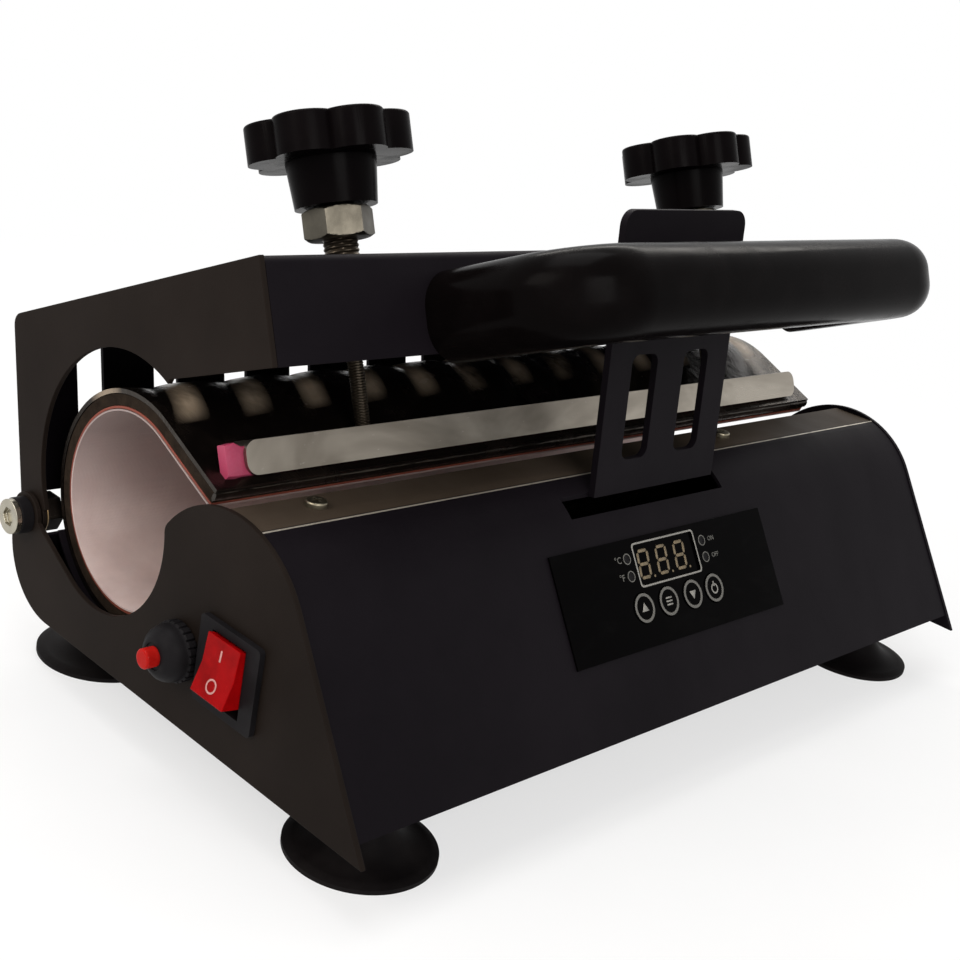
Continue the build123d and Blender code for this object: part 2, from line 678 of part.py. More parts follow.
# Clamp bar, pad, rods, knobs
bar_front = rod_v - bar_ahead
bar_back = rod_v + bar_behind


def across_frame(points, x0, x1):
    """Extrude a profile given as (v, u) points of the frame from x0 to x1."""
    return along_x(polygon(*[frame_point(v, u) for v, u in points]), x0, x1)


flap_out = on_circle(wrap_at, wrap_r + soft_gap, upper_angle)
flap_way = way(upper_angle + 90)


def flap_u(v):
    """Height, in the frame's plane, of the line just above the upper flap."""
    p = frame_place(flap_out)
    q = frame_place((flap_out[0] + flap_way[0], flap_out[1] + flap_way[1]))
    return p[1] + (v - p[0]) * (q[1] - p[1]) / (q[0] - p[0])


bar_low = flap_u(bar_front) + bar_lift
bar_top = bar_low + bar_face
bar = across_frame([(bar_front, bar_top), (bar_back, bar_top), (bar_back, bar_top - bar_sheet),
                    (bar_front + bar_sheet, bar_top - bar_sheet), (bar_front + bar_sheet, bar_low),
                    (bar_front, bar_low)], *bar_x)
bar_outline = RectangleRounded(bar_x[1] - bar_x[0], bar_face, bar_end_round)
bar_place = Pos(sum(bar_x) / 2, rod_v, bar_top - bar_face / 2) * Rot(90, 0, 0)
bar = bar & (frame_plane * bar_place * extrude(bar_outline, 2 * bar_ahead, both=True))
pad_front = bar_front + bar_sheet + fit_gap
pad_top = bar_top - bar_sheet - fit_gap
pad_low = max(bar_low, flap_u(pad_front))
pad_back = pad_front + pad_t
pad_points = [(pad_front, pad_top), (pad_back, pad_top), (pad_back, max(bar_low, flap_u(pad_back))),
              (pad_front, pad_low)]
pad = across_frame(pad_points, *pad_x)
star = Circle(star_r - star_lobe_r)
for number in range(star_lobes):
    star += Rot(0, 0, 360 * number / star_lobes) * Pos(star_r - star_lobe_r, 0) * Circle(star_lobe_r)
star = extrude(Pos(0, 0, hub_to) * star, star_to - hub_to)
star = fillet(star.edges().filter_by(lambda e: e.center().Z > star_to - 0.1), star_edge_r)
hub_taper = math.degrees(math.atan2(hub_low_r - hub_top_r, hub_to - hub_from))
hub = Pos(0, 0, hub_from) * extrude(Circle(hub_low_r), hub_to - hub_from, taper=hub_taper)
sleeve_top = hub_from + sleeve_grip
sleeve_low = -plate - boss_h
collar_top = bar_top - bar_sheet - fit_gap
collar_low = collar_top - rod_foot
rod_stop = bar_top + fit_gap
rod_profile = make_face(Polyline(
    (0, collar_low), (rod_foot_r, collar_low), (rod_foot_r, collar_top), (rod_neck_r, collar_top),
    (rod_neck_r, rod_stop), (rod_r, rod_stop),
    (rod_r, sleeve_low), (sleeve_r, sleeve_low), (sleeve_r, sleeve_top), (0, sleeve_top), close=True))
knob = star + hub - Pos(0, 0, sleeve_top / 2) * Cylinder(sleeve_r + fit_gap, sleeve_top)
rod = revolve(Plane.XZ * rod_profile, Axis.Z)
jam = extrude(Pos(0, 0, nut_from) * RegularPolygon(nut_r, 6), nut_to - nut_from)
jam -= Pos(0, 0, (nut_from + nut_to) / 2) * Cylinder(sleeve_r + fit_gap, nut_to)
for side, name in ((-1, "left"), (1, "right")):
    place = frame_plane * Pos(side * rod_x, rod_v, 0)
    bar -= place * Pos(0, 0, bar_top) * Cylinder(rod_neck_r + joint_gap, 4 * bar_sheet)
    pad -= place * Pos(0, 0, bar_top - bar_face / 2) * Cylinder(rod_foot_r + soft_gap, bar_face)
    put("star_knob_" + name, place * knob)
    put("jam_nut_" + name, place * jam)
    put("threaded_rod_" + name, place * rod)
put("clamp_bar", bar)
put("bar_pad", pad)

# Switch and breaker
bezel_out = -half_length - bezel_t


def around_switch(x, size_y, size_z, row=0.0):
    """Box between two values of X, centred on the switch or row above its middle."""
    mid_z = switch_at[1] + row
    return box(x, (switch_at[0] - size_y / 2, switch_at[0] + size_y / 2),
               (mid_z - size_z / 2, mid_z + size_z / 2))


housing = fillet(around_switch((bezel_out, -half_length), bezel, bezel).edges().filter_by(Axis.X), 1.6)
housing_end = -half_length + switch_deep
housing += around_switch((-half_length, housing_end), switch_body, switch_body)
well = (bezel_out - 1, -half_length + well_deep)
housing -= around_switch(well, rocker_w + 2 * soft_gap, rocker_l + 2 * soft_gap)
for row in (-1, 0, 1):
    housing += around_switch((housing_end, housing_end + tab[2]), tab[0], tab[1], row * switch_body * 0.29)
rocker_pin_x = -half_length + rocker_pin_in
pin_line = Pos(rocker_pin_x, switch_at[0], switch_at[1]) * Rot(90, 0, 0)
housing -= pin_line * Cylinder(rocker_pin_r + joint_gap, rocker_w + 4)
put("rocker_housing", housing)
# The rocker is drawn flat and turned about its pin, so that its upper half is pressed in.
half_l = rocker_l / 2
rocker_face = make_face(Polyline(
    (1.2 - rocker_out, 1.8 - half_l), (2.4 - rocker_out, 0), (1.2 - rocker_out, half_l - 1.8),
    (-1.5, half_l - 2.6), (3.0, 4.0), (3.0, -4.0), (-1.5, 2.6 - half_l), close=True))
rocker = extrude(Plane.XZ * rocker_face, rocker_w / 2, both=True)
rocker += Rot(90, 0, 0) * Cylinder(rocker_pin_r, rocker_w + 3)
put("rocker", Pos(rocker_pin_x, *switch_at) * Rot(0, rocker_tilt, 0) * rocker)

thread_out = -half_length - breaker_nut - breaker_dome - 0.8
body = rod_along_x(breaker_at, breaker_body_r, -inner, -inner + breaker_deep)
body += rod_along_x(breaker_at, breaker_thread_r, thread_out, -inner)
body -= rod_along_x(breaker_at, button_r + joint_gap, thread_out - 1, thread_out + button_in + 1)
breaker_end = -inner + breaker_deep
for row in (-1, 1):
    tab_z = breaker_at[1] + row * breaker_body_r / 2
    body += box((breaker_end, breaker_end + tab[2]), (breaker_at[0] - tab[0] / 2, breaker_at[0] + tab[0] / 2),
                (tab_z - tab[1] / 2, tab_z + tab[1] / 2))
put("breaker_body", body)
ring = Pos(*breaker_at) * (Circle(breaker_nut_r) - Circle(breaker_thread_r + fit_gap))
for number in range(breaker_knurls):
    turn = Pos(*breaker_at) * Rot(0, 0, 360 * number / breaker_knurls)
    ring -= turn * Pos(breaker_nut_r, 0) * Rot(0, 0, 45) * Rectangle(0.9, 0.9)
rim_out = -half_length - breaker_nut
dome = Cone(breaker_nut_r - 0.6, breaker_dome_r, breaker_dome)
dome = Pos(rim_out - breaker_dome / 2, *breaker_at) * Rot(0, -90, 0) * dome
dome -= rod_along_x(breaker_at, breaker_thread_r + fit_gap, rim_out - breaker_dome - 1, rim_out + 1)
put("breaker_nut", along_x(ring, rim_out, -half_length) + dome)
button_tip = -half_length - button_out
button = rod_along_x(breaker_at, button_r, button_tip, thread_out + button_in - 2.6)
button = fillet(button.edges().sort_by(Axis.X)[0], 0.8)
put("reset_button", button)

# Control panel


def on_panel(x, s, out, size_x, size_s, size_out):
    """Box on the panel's slope; out is the height of its lower face above the panel's outer face."""
    return panel_plane * Pos(x, s, out + size_out / 2) * Box(size_x, size_s, size_out)


def post_on_panel(x, s, r, low, high):
    return panel_plane * Pos(x, s, (low + high) / 2) * Cylinder(r, high - low)


overlay_mid = (sum(overlay_x) / 2, sum(overlay_s) / 2)
display_mid = (sum(display_x) / 2, sum(display_s) / 2)
display_size = (display_x[1] - display_x[0], display_s[1] - display_s[0])
overlay = on_panel(*overlay_mid, 0, overlay_x[1] - overlay_x[0], overlay_s[1] - overlay_s[0], overlay_t)
overlay -= on_panel(*display_mid, -1, *display_size, overlay_t + 2)
lens_top = -0.05
lens_size = (display_size[0] + 2 * lens_edge, display_size[1] + lens_edge)
lens = on_panel(*display_mid, lens_top - overlay_t, *lens_size, overlay_t)
display = on_panel(*display_mid, -board_drop, *display_size, board_drop + lens_top - overlay_t - 0.3)
switches = []
for name, x in zip(key_names, key_x):
    overlay -= post_on_panel(x, key_s, key_r + key_gap, -1, 2)
    cap = post_on_panel(x, key_s, key_r, -key_root, overlay_t + key_proud)
    cap += post_on_panel(x, key_s, key_r + 1.0, -key_root, -0.1)
    cap += post_on_panel(x, key_s, key_stem_r, -key_stem, -key_root)
    put(name, cap)
    switch_top = key_switch[1] - board_drop
    body = on_panel(x, key_s, -board_drop, key_switch[0], key_switch[0], key_switch[1])
    body += post_on_panel(x, key_s, key_stem_r + 0.25, switch_top, -key_stem - key_travel - key_gap)
    switches.append(body)
leds = []
for x in led_x:
    for s in led_s:
        overlay -= post_on_panel(x, s, led_r + key_gap, -1, 2)
        leds.append(post_on_panel(x, s, led_r, -board_drop, overlay_t - 0.1))
board = on_panel(*board_mid, -board_drop - board_t, board_x, board_s, board_t)
standoffs = []
for side in (-1, 1):
    for end in (-1, 1):
        at = (board_mid[0] + side * (board_x / 2 - board_margin[0]),
              board_mid[1] + end * (board_s / 2 - board_margin[1]))
        standoffs.append(post_on_panel(*at, standoff_r, -board_drop, -panel_sheet))
put("control_overlay", overlay)
put("display_lens", lens)
put("led_display", display)
put("key_switches", *switches)
put("status_leds", *leds)
put("control_board", board)
put("board_standoffs", *standoffs)

# Power parts
flange_out = half_length + inlet_flange_t
socket_end = half_length - inlet_deep
inlet = along_x(Pos(*inlet_at) * RectangleRounded(*inlet_flange, 4), half_length, flange_out)
inlet += along_x(Pos(*inlet_at) * Rectangle(*inlet_body), socket_end, half_length)
mouth = RectangleRounded(inlet_body[0] - 2 * inlet_wall, inlet_body[1] - 2 * inlet_wall, 2)
inlet -= along_x(Pos(*inlet_at) * mouth, socket_end + inlet_floor, flange_out + 1)
for pin_y, pin_z in contacts_at:
    pin_place = Pos(inlet_at[0] + pin_y, inlet_at[1] + pin_z)
    inlet += along_x(pin_place * Rectangle(*contact), socket_end + inlet_floor, half_length - contact[0])
inlet_screws = []
for at in inlet_screws_at:
    inlet -= rod_along_x(at, screw_r + fit_gap, half_length - 1, flange_out + 1)
    screw = rod_along_x(at, screw_r, inner - inlet_floor, flange_out)
    inlet_screws.append(screw + rod_along_x(at, screw_head_r * 0.9, flange_out, flange_out + inlet_head))
put("power_inlet", inlet)
put("inlet_screws", *inlet_screws)


def on_pan(middle, size):
    """Box that stands on the pan."""
    return Pos(*middle, pan_top + size[2] / 2) * Box(*size)


relay = on_pan(relay_mid, relay_size)
relay = fillet(relay.edges().filter_by(Axis.Z), 3)
for side in (-1, 1):
    for end in (-1, 1):
        screw_at = (relay_mid[0] + side * relay_screw[0] / 2, relay_mid[1] + end * relay_screw[1] / 2)
        screw_mid = pan_top + relay_size[2] + relay_screw[3] / 2
        relay += Pos(*screw_at, screw_mid) * Cylinder(relay_screw[2], relay_screw[3])
put("solid_state_relay", relay)
core = on_pan(transformer_mid, transformer_size)
coil_size = (transformer_size[0] * 0.55, transformer_size[1] + 12, transformer_size[2] * 0.6)
coil = Pos(*transformer_mid, pan_top + transformer_size[2] / 2) * Box(*coil_size)
put("transformer", core + fillet(coil.edges().filter_by(Axis.Y), 3))
terminal = on_pan(terminal_mid, terminal_size)
way_pitch = terminal_size[0] / terminal_ways
for number in range(terminal_ways):
    hole_x = terminal_mid[0] + (number - (terminal_ways - 1) / 2) * way_pitch
    hole_place = Pos(hole_x, terminal_mid[1], pan_top + terminal_size[2])
    terminal -= hole_place * Cylinder(terminal_hole_r, terminal_size[2] / 2)
put("terminal_block", terminal)

everything = Compound([solid for solids in pieces.values() for solid in solids])
limits = everything.bounding_box()
middle = limits.center()
move = Location((-middle.X, -middle.Y, -limits.min.Z))
print("shift", -middle.X, -middle.Y, -limits.min.Z, "size", limits.size)
print("nodes", len(pieces))
os.makedirs("parts", exist_ok=True)
for name, solids in pieces.items():
    export_step(Compound([move * solid for solid in solids]), f"parts/{name}.step")
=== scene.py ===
import bmesh
import bpy
import math
from mathutils import Matrix, Vector, noise


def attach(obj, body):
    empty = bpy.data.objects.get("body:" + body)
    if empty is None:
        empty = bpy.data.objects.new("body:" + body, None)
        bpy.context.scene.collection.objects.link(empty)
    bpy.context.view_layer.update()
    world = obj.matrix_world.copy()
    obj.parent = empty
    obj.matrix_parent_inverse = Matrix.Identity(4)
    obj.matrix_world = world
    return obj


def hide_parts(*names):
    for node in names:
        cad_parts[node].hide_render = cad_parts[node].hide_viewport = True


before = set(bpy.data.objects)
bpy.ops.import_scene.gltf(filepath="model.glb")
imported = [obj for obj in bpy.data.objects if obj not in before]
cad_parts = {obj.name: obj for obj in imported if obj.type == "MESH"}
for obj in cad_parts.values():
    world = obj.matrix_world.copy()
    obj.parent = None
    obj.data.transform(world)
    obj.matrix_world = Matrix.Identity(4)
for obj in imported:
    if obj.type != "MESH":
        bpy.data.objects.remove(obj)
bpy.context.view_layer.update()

# A tumbler heat press on a pale studio floor. Sizes below are millimetres in the press's own drawing axes:
# Y counts back from the front corner of the end plates, Z up from their lower edge, X from the middle.
DRAWN_X, DRAWN_Y, DRAWN_Z = 3.95, -111.1333, 21.1   # where the drawing's origin lies in the scene
FRAME_TILT = 23.2
FRAME_AT = (87.3, 164.8)   # front edge of the frame's top, as (Y, Z)


def spot(x, y, z):
    """A drawing point, in millimetres, as a place in the scene, in metres."""
    return Vector((x + DRAWN_X, y + DRAWN_Y, z + DRAWN_Z)) / 1000


def polar(centre, radius, degrees):
    turn = math.radians(degrees)
    return (centre[0] + radius * math.cos(turn), centre[1] + radius * math.sin(turn))


def slanted(origin, degrees):
    """Axes of a plane that runs back at a slope: local X along the press, local Y along the slope, local Z out."""
    turn = math.radians(degrees)
    along = Vector((0, math.cos(turn), math.sin(turn)))
    out = Vector((0, -math.sin(turn), math.cos(turn)))
    axes = Matrix((Vector((1, 0, 0)), along, out)).transposed().to_4x4()
    return Matrix.Translation(spot(*origin)) @ axes @ Matrix.Scale(0.001, 4)


FRAME_TOP = slanted((0, *FRAME_AT), -FRAME_TILT)
PANEL_SLOPE = math.degrees(math.atan2(41.2, 79.7) + math.asin(42.9 / math.hypot(79.7, 41.2)))
PANEL_EDGE = math.radians(PANEL_SLOPE)
PANEL_BEND = 79.7 - math.sqrt(42.4 ** 2 - 40.8 ** 2) + DRAWN_Y
PANEL = slanted((0, 0.5 * math.sin(PANEL_EDGE), -0.5 * math.cos(PANEL_EDGE)), PANEL_SLOPE)


# Finishes

class Value:
    """One socket of a finish, so that its arithmetic can be written out."""

    def __init__(self, finish, socket):
        self.finish = finish
        self.socket = socket

    def math(self, operation, first, second):
        return self.finish.node("ShaderNodeMath", {"operation": operation}, {0: first, 1: second})

    def __add__(self, other):
        return self.math("ADD", self, other)

    def __sub__(self, other):
        return self.math("SUBTRACT", self, other)

    def __mul__(self, other):
        return self.math("MULTIPLY", self, other)

    def __truediv__(self, other):
        return self.math("DIVIDE", self, other)

    def __gt__(self, other):
        return self.math("GREATER_THAN", self, other)

    def __rsub__(self, other):
        return self.math("SUBTRACT", other, self)

    __radd__ = __add__
    __rmul__ = __mul__


class Finish:
    """A material drawn with nodes."""

    def __init__(self, name):
        self.material = bpy.data.materials.new(name)
        self.material.use_nodes = True
        self.tree = self.material.node_tree
        self.tree.nodes.clear()

    def node(self, kind, settings=None, inputs=None, out=0):
        """Add a node: its settings first, then the values or links of its sockets."""
        made = self.tree.nodes.new(kind)
        for key, value in (settings or {}).items():
            if key == "stops":
                for number, (place, colour) in enumerate(value):
                    stops = made.color_ramp.elements
                    stop = stops[number] if number < len(stops) else stops.new(place)
                    stop.position = place
                    stop.color = (*colour, 1)
            else:
                setattr(made, key, value)
        for key, value in (inputs or {}).items():
            if isinstance(value, Value):
                self.tree.links.new(value.socket, made.inputs[key])
            elif value is not None:
                made.inputs[key].default_value = value
        return Value(self, made.outputs[out])

    def place(self, scale=(1, 1, 1), turn=(0, 0, 0)):
        """Object coordinates in millimetres, stretched and turned."""
        here = self.node("ShaderNodeTexCoord", out="Object")
        return self.node("ShaderNodeMapping", None,
                         {"Vector": here, "Scale": [1000 * s for s in scale], "Rotation": turn})

    def part(self, axis):
        """One of the object coordinates, in metres."""
        here = self.node("ShaderNodeTexCoord", out="Object")
        number = "XYZ".index(axis)
        return self.node("ShaderNodeSeparateXYZ", None, {0: here}, out=number)

    def cloud(self, scale, detail=3, rough=0.55, where=None, twist=0.0):
        """Soft noise; scale is in features per millimetre."""
        return self.node("ShaderNodeTexNoise", None,
                         {"Vector": where or self.place(), "Scale": scale, "Detail": detail,
                          "Roughness": rough, "Distortion": twist})

    def cells(self, scale):
        """Distance to the nearest of scattered points; scale is in points per millimetre."""
        return self.node("ShaderNodeTexVoronoi", None, {"Vector": self.place(), "Scale": scale})

    def waves(self, scale, direction="X"):
        """Even bands across one axis."""
        return self.node("ShaderNodeTexWave", {"bands_direction": direction},
                         {"Vector": self.place(), "Scale": scale, "Detail": 2})

    def spread(self, value, low, high):
        """Stretch a value from low..high to 0..1."""
        return self.node("ShaderNodeMapRange", None, {"Value": value, "From Min": low, "From Max": high})

    def blend(self, share, first, second):
        """Colour between two colours."""
        return self.node("ShaderNodeMix", {"data_type": "RGBA"}, {0: share, 6: first, 7: second}, out=2)

    def bump(self, height, depth, under=None):
        """Normal of a relief, its depth in millimetres."""
        return self.node("ShaderNodeBump", None, {"Height": height, "Distance": depth / 1000, "Normal": under})

    def shade(self, colour, roughness, metallic=0.0, normal=None, **fixed):
        """Close the finish with a principled surface; fixed holds its other sockets."""
        inputs = {"Base Color": colour, "Roughness": roughness, "Metallic": metallic, "Normal": normal}
        for key, value in fixed.items():
            inputs[key.replace("_", " ")] = value
        shader = self.node("ShaderNodeBsdfPrincipled", None, inputs)
        self.node_out(shader)
        return self.material

    def node_out(self, shader):
        end = self.tree.nodes.new("ShaderNodeOutputMaterial")
        self.tree.links.new(shader.socket, end.inputs["Surface"])


def shade_of(red, green, blue):
    return (red, green, blue, 1)


def powder_coat(name, dark, light, gloss=0.42, sheen=0.045, highlight_bend_y=None):
    """Fine orange-peel powder coat with faint handling marks and settled dust.

    The last argument is the Y of a bend painted with a bright highlight line, with the lip behind it painted a lit
    warm brown."""
    f = Finish(name)
    patches = f.spread(f.cloud(0.018, 4), 0.35, 0.65)
    grain = f.cloud(2.2, 2)
    dust = f.spread(f.cells(0.35), 0.0, 0.06)
    colour = f.blend(patches, dark, light)
    colour = f.blend(0.35 - dust * 0.35, colour, [2.2 * c for c in light[:3]] + [1])
    smears = f.cloud(0.05, 5, 0.6, f.place((1, 0.25, 0.25)), 0.8)
    rough = gloss + smears * 0.16 + grain * 0.06
    relief = f.bump(f.cloud(1.1, 3), 0.035)
    relief = f.bump(grain, 0.012, relief)
    metal = 0.0
    if highlight_bend_y is not None:
        across = f.part("Y") * 1000 - highlight_bend_y
        # Painted highlight: a bright, partly metallic line along the bend
        line = 1 - f.spread(across * across, 0.02, 0.20)
        high = f.part("Z") * 1000 > 102.2
        painted_bend_highlight = line * high * f.spread(f.cloud(0.05, 5, 0.7), 0.25, 0.5)
        colour = f.blend(painted_bend_highlight, colour, shade_of(0.55, 0.50, 0.42))
        metal = painted_bend_highlight * 0.7
        # Painted light: the lip behind the bend is coloured a lit warm brown
        lip = f.spread(across, 0.4, 1.4) * high
        colour = f.blend(lip, colour, f.blend(patches, shade_of(0.040, 0.029, 0.020), shade_of(0.062, 0.047, 0.035)))
        rough = rough - painted_bend_highlight * 0.15
    return f.shade(colour, rough, metal, relief, Specular_IOR_Level=sheen)


def moulded_gloss(name, colour=(0.003, 0.0022, 0.0022), gloss=0.14, wave=0.25, sheen=0.05):
    """Polished black moulding: faint flow waves, fine scratches and finger smears."""
    f = Finish(name)
    waves = f.cloud(0.035, 2, 0.4)
    scratches = f.spread(f.cloud(0.5, 4, 0.7, f.place((0.05, 1, 1))), 0.58, 0.72)
    smears = f.spread(f.cloud(0.06, 5), 0.45, 0.75)
    tone = f.blend(smears * 0.5, shade_of(*colour), shade_of(*[1.6 * c + 0.0006 for c in colour]))
    rough = gloss + smears * 0.13 + scratches * 0.08
    relief = f.bump(waves, wave)
    relief = f.bump(f.cloud(1.6, 2), 0.006, relief)
    return f.shade(tone, rough, normal=relief, Specular_IOR_Level=sheen)


def plated_steel(name, tint, rough_from=0.24):
    """Zinc plating: slight yellow passivation, milky clouding and tiny pits."""
    f = Finish(name)
    clouds = f.spread(f.cloud(0.12, 5), 0.3, 0.7)
    pits = f.spread(f.cells(1.4), 0.0, 0.22)
    colour = f.blend(clouds, shade_of(*tint), shade_of(*[0.72 * c for c in tint]))
    colour = f.blend(0.5 - pits * 0.5, colour, shade_of(0.25, 0.22, 0.18))
    rough = rough_from + clouds * 0.16 + (1 - pits) * 0.12
    return f.shade(colour, rough, 1.0, f.bump(f.cloud(0.9, 4), 0.03))


def rolled_bar(name):
    """Cold-rolled bar with long grain, dull patches and scuffs from the rods."""
    f = Finish(name)
    grain = f.cloud(1.5, 4, 0.7, f.place((0.012, 1, 1)))
    dull = f.spread(f.cloud(0.03, 4, 0.6, f.place((0.4, 1, 1)), 0.6), 0.4, 0.65)
    marks = f.spread(f.cloud(0.7, 4, 0.7, f.place((0.3, 1, 1), (0, 0, 0.5))), 0.66, 0.74)
    colour = f.blend(dull, shade_of(0.36, 0.325, 0.275), shade_of(0.20, 0.176, 0.145))
    colour = f.blend(marks * 0.5, colour, shade_of(0.60, 0.57, 0.53))
    rough = 0.2 + grain * 0.16 + dull * 0.14
    relief = f.bump(grain, 0.02)
    return f.shade(colour, rough, 1.0, f.bump(f.cloud(0.05, 2), 0.12, relief))


def silicone(name, low, high, rough_from=0.42, print_depth=0.05, painted_shade_from=None):
    """Cast silicone with the faint weave of its backing showing through.

    The last argument is a height, in millimetres, above which the colour is darkened with painted shade."""
    f = Finish(name)
    mottle = f.spread(f.cloud(0.05, 5), 0.3, 0.7)
    weave = f.waves(0.55, direction="X") * f.waves(0.55, direction="Y")
    colour = f.blend(mottle, low, high)
    specks = f.spread(f.cells(0.5), 0.0, 0.08)
    colour = f.blend(0.25 - specks * 0.25, colour, [0.5 * c for c in low[:3]] + [1])
    # Painted shade: darker towards the top, from the given height up
    if painted_shade_from is not None:
        painted_shade_share = f.spread(f.part("Z") * 1000 + mottle * 6.0, painted_shade_from, painted_shade_from + 34.0)
        colour = f.blend(painted_shade_share * 0.75, colour, [0.33 * c for c in low[:3]] + [1])
    rough = rough_from + mottle * 0.15
    return f.shade(colour, rough, normal=f.bump(weave + f.cloud(0.8, 3) * 0.6, print_depth),
                   Subsurface_Weight=0.12, Subsurface_Radius=(0.004, 0.002, 0.0015), Subsurface_Scale=0.5)


def felt(name):
    """Pressed brown felt seen on its cut edge: matted fibres and flecks."""
    f = Finish(name)
    mats = f.spread(f.cloud(0.25, 6, 0.7), 0.3, 0.7)
    fibres = f.cloud(1.8, 5, 0.8, f.place((1, 0.4, 0.4), (0.4, 0.3, 0.2)), 1.5)
    flecks = f.spread(f.cells(1.1), 0.0, 0.12)
    colour = f.blend(mats, shade_of(0.011, 0.007, 0.0045), shade_of(0.030, 0.020, 0.013))
    colour = f.blend(0.4 - flecks * 0.4, colour, shade_of(0.075, 0.052, 0.034))
    return f.shade(colour, 0.9 + fibres * 0.08, normal=f.bump(fibres + mats * 0.5, 0.35), Specular_IOR_Level=0.1)


def coated_cloth(name):
    """Black coated glass cloth: tight weave under a shiny, creased coat with warm-tinted reflections, and tan
    highlights painted on the crests of its folds over the top of the wrap.
    """
    f = Finish(name)
    weave = f.waves(0.75, direction="X") * f.waves(0.75, direction="Y")
    creases = f.cloud(0.09, 5, 0.6, f.place((1, 0.55, 0.55), (0, 0, 0.6)), 1.2)
    worn = f.spread(f.cloud(0.05, 4), 0.5, 0.75)
    up = f.part("Z") * 1000 - 77.3
    back = f.part("Y") * 1000 - 37.87
    turn = f.node("ShaderNodeMath", {"operation": "ARCTAN2"}, {0: up, 1: back}) * 57.3
    phase = (f.part("X") * 1000 + turn * 0.30 + f.cloud(0.02, 1) * 9.0) / 28.0
    crest = f.node("ShaderNodeMath", {"operation": "PINGPONG"}, {0: phase, 1: 0.5}) * 2
    # Painted highlight: tan streaks on the fold crests over the top of the wrap
    painted_crest_highlight = f.spread(crest, 0.50, 0.90) * f.spread(turn, 48, 72) * (1 - f.spread(turn, 98, 116))
    painted_crest_highlight = painted_crest_highlight * f.spread(f.cloud(0.045, 4, 0.6, f.place((1, 0.5, 0.5), (0, 0, 0.5))), 0.28, 0.52)
    colour = f.blend(worn, shade_of(0.0035, 0.0026, 0.0023), shade_of(0.010, 0.0075, 0.006))
    colour = f.blend(painted_crest_highlight, colour, shade_of(0.74, 0.58, 0.42))
    rough = 0.17 + creases * 0.12 + worn * 0.12
    relief = f.bump(creases, 0.6)
    return f.shade(colour, rough, normal=f.bump(weave, 0.02, relief),
                   Specular_IOR_Level=0.3, Specular_Tint=shade_of(1.0, 0.80, 0.60))


def black_rubber(name):
    """Matt rubber with a dusty bloom and moulding grain."""
    f = Finish(name)
    bloom = f.spread(f.cloud(0.06, 5), 0.4, 0.75)
    grain = f.cloud(1.4, 4, 0.6)
    colour = f.blend(bloom, shade_of(0.0045, 0.0036, 0.0038), shade_of(0.0105, 0.0088, 0.0088))
    return f.shade(colour, 0.5 + grain * 0.16 + bloom * 0.1, normal=f.bump(grain, 0.05), Specular_IOR_Level=0.05)


def red_moulding(name, colour=(0.34, 0.002, 0.003)):
    """Clear-red switch moulding with depth and light scuffs."""
    f = Finish(name)
    depth = f.spread(f.cloud(0.12, 3), 0.3, 0.7)
    scuffs = f.spread(f.cloud(0.9, 4, 0.7, f.place((1, 1, 0.2))), 0.6, 0.75)
    tone = f.blend(depth, shade_of(*colour), shade_of(colour[0] * 0.62, colour[1] * 0.5, colour[2] * 0.5))
    return f.shade(tone, 0.16 + scuffs * 0.25, normal=f.bump(f.cloud(0.3, 3), 0.03),
                   Subsurface_Weight=0.2, Subsurface_Radius=(0.003, 0.0005, 0.0005), Subsurface_Scale=0.6,
                   Specular_IOR_Level=0.045)


def printed_film(name):
    """Glossy black control film: faint ripple, fine dust and wipe marks."""
    f = Finish(name)
    wipes = f.spread(f.cloud(0.12, 5, 0.6, f.place((0.4, 1, 1), (0, 0, 0.4)), 0.5), 0.5, 0.8)
    dust = f.spread(f.cells(0.6), 0.0, 0.045)
    colour = f.blend(wipes, shade_of(0.0012, 0.0010, 0.0011), shade_of(0.0024, 0.0021, 0.0022))
    colour = f.blend(0.3 - dust * 0.3, colour, shade_of(0.02, 0.019, 0.018))
    return f.shade(colour, 0.1 + wipes * 0.14 + (1 - dust) * 0.2, normal=f.bump(f.cloud(0.05, 2), 0.06),
                   Specular_IOR_Level=0.012)


def print_ink(name, colour, glow=0.0):
    """Screen-printed ink with a slightly broken edge, or a lit segment."""
    f = Finish(name)
    worn = f.spread(f.cloud(1.6, 4), 0.35, 0.65)
    tone = f.blend(worn, shade_of(*[0.72 * c for c in colour]), shade_of(*colour))
    return f.shade(tone, 0.35 + worn * 0.2, normal=f.bump(f.cloud(2.0, 2), 0.01), Specular_IOR_Level=0.1,
                   Emission_Color=tone, Emission_Strength=glow)


def plain_plastic(name, low, high, rough_from=0.42):
    """Moulded plastic with spark-eroded texture."""
    f = Finish(name)
    tone = f.spread(f.cloud(0.08, 4), 0.3, 0.7)
    grain = f.cloud(1.9, 3, 0.6)
    return f.shade(f.blend(tone, low, high), rough_from + grain * 0.16, normal=f.bump(grain, 0.03),
                   Specular_IOR_Level=0.05)


def laminate(name):
    """Circuit board laminate: mottled green mask over glass weave."""
    f = Finish(name)
    weave = f.waves(0.9, direction="X") * f.waves(0.9, direction="Y")
    tone = f.spread(f.cloud(0.1, 4), 0.3, 0.7)
    return f.shade(f.blend(tone, shade_of(0.01, 0.09, 0.035), shade_of(0.02, 0.14, 0.05)),
                   0.3 + tone * 0.15, normal=f.bump(weave, 0.02))


COAT_TONES = (shade_of(0.0040, 0.0029, 0.0042), shade_of(0.0062, 0.0047, 0.0064))
coat = powder_coat("black powder coat", *COAT_TONES)
# Painted light: the left end plate and left frame side get a lighter, browner copy of the black coat than the
# right-hand plates
left_lit_coat = powder_coat("black powder coat, left sides, painted light", shade_of(0.0090, 0.0062, 0.0048),
                        shade_of(0.0135, 0.0096, 0.0076), 0.46)
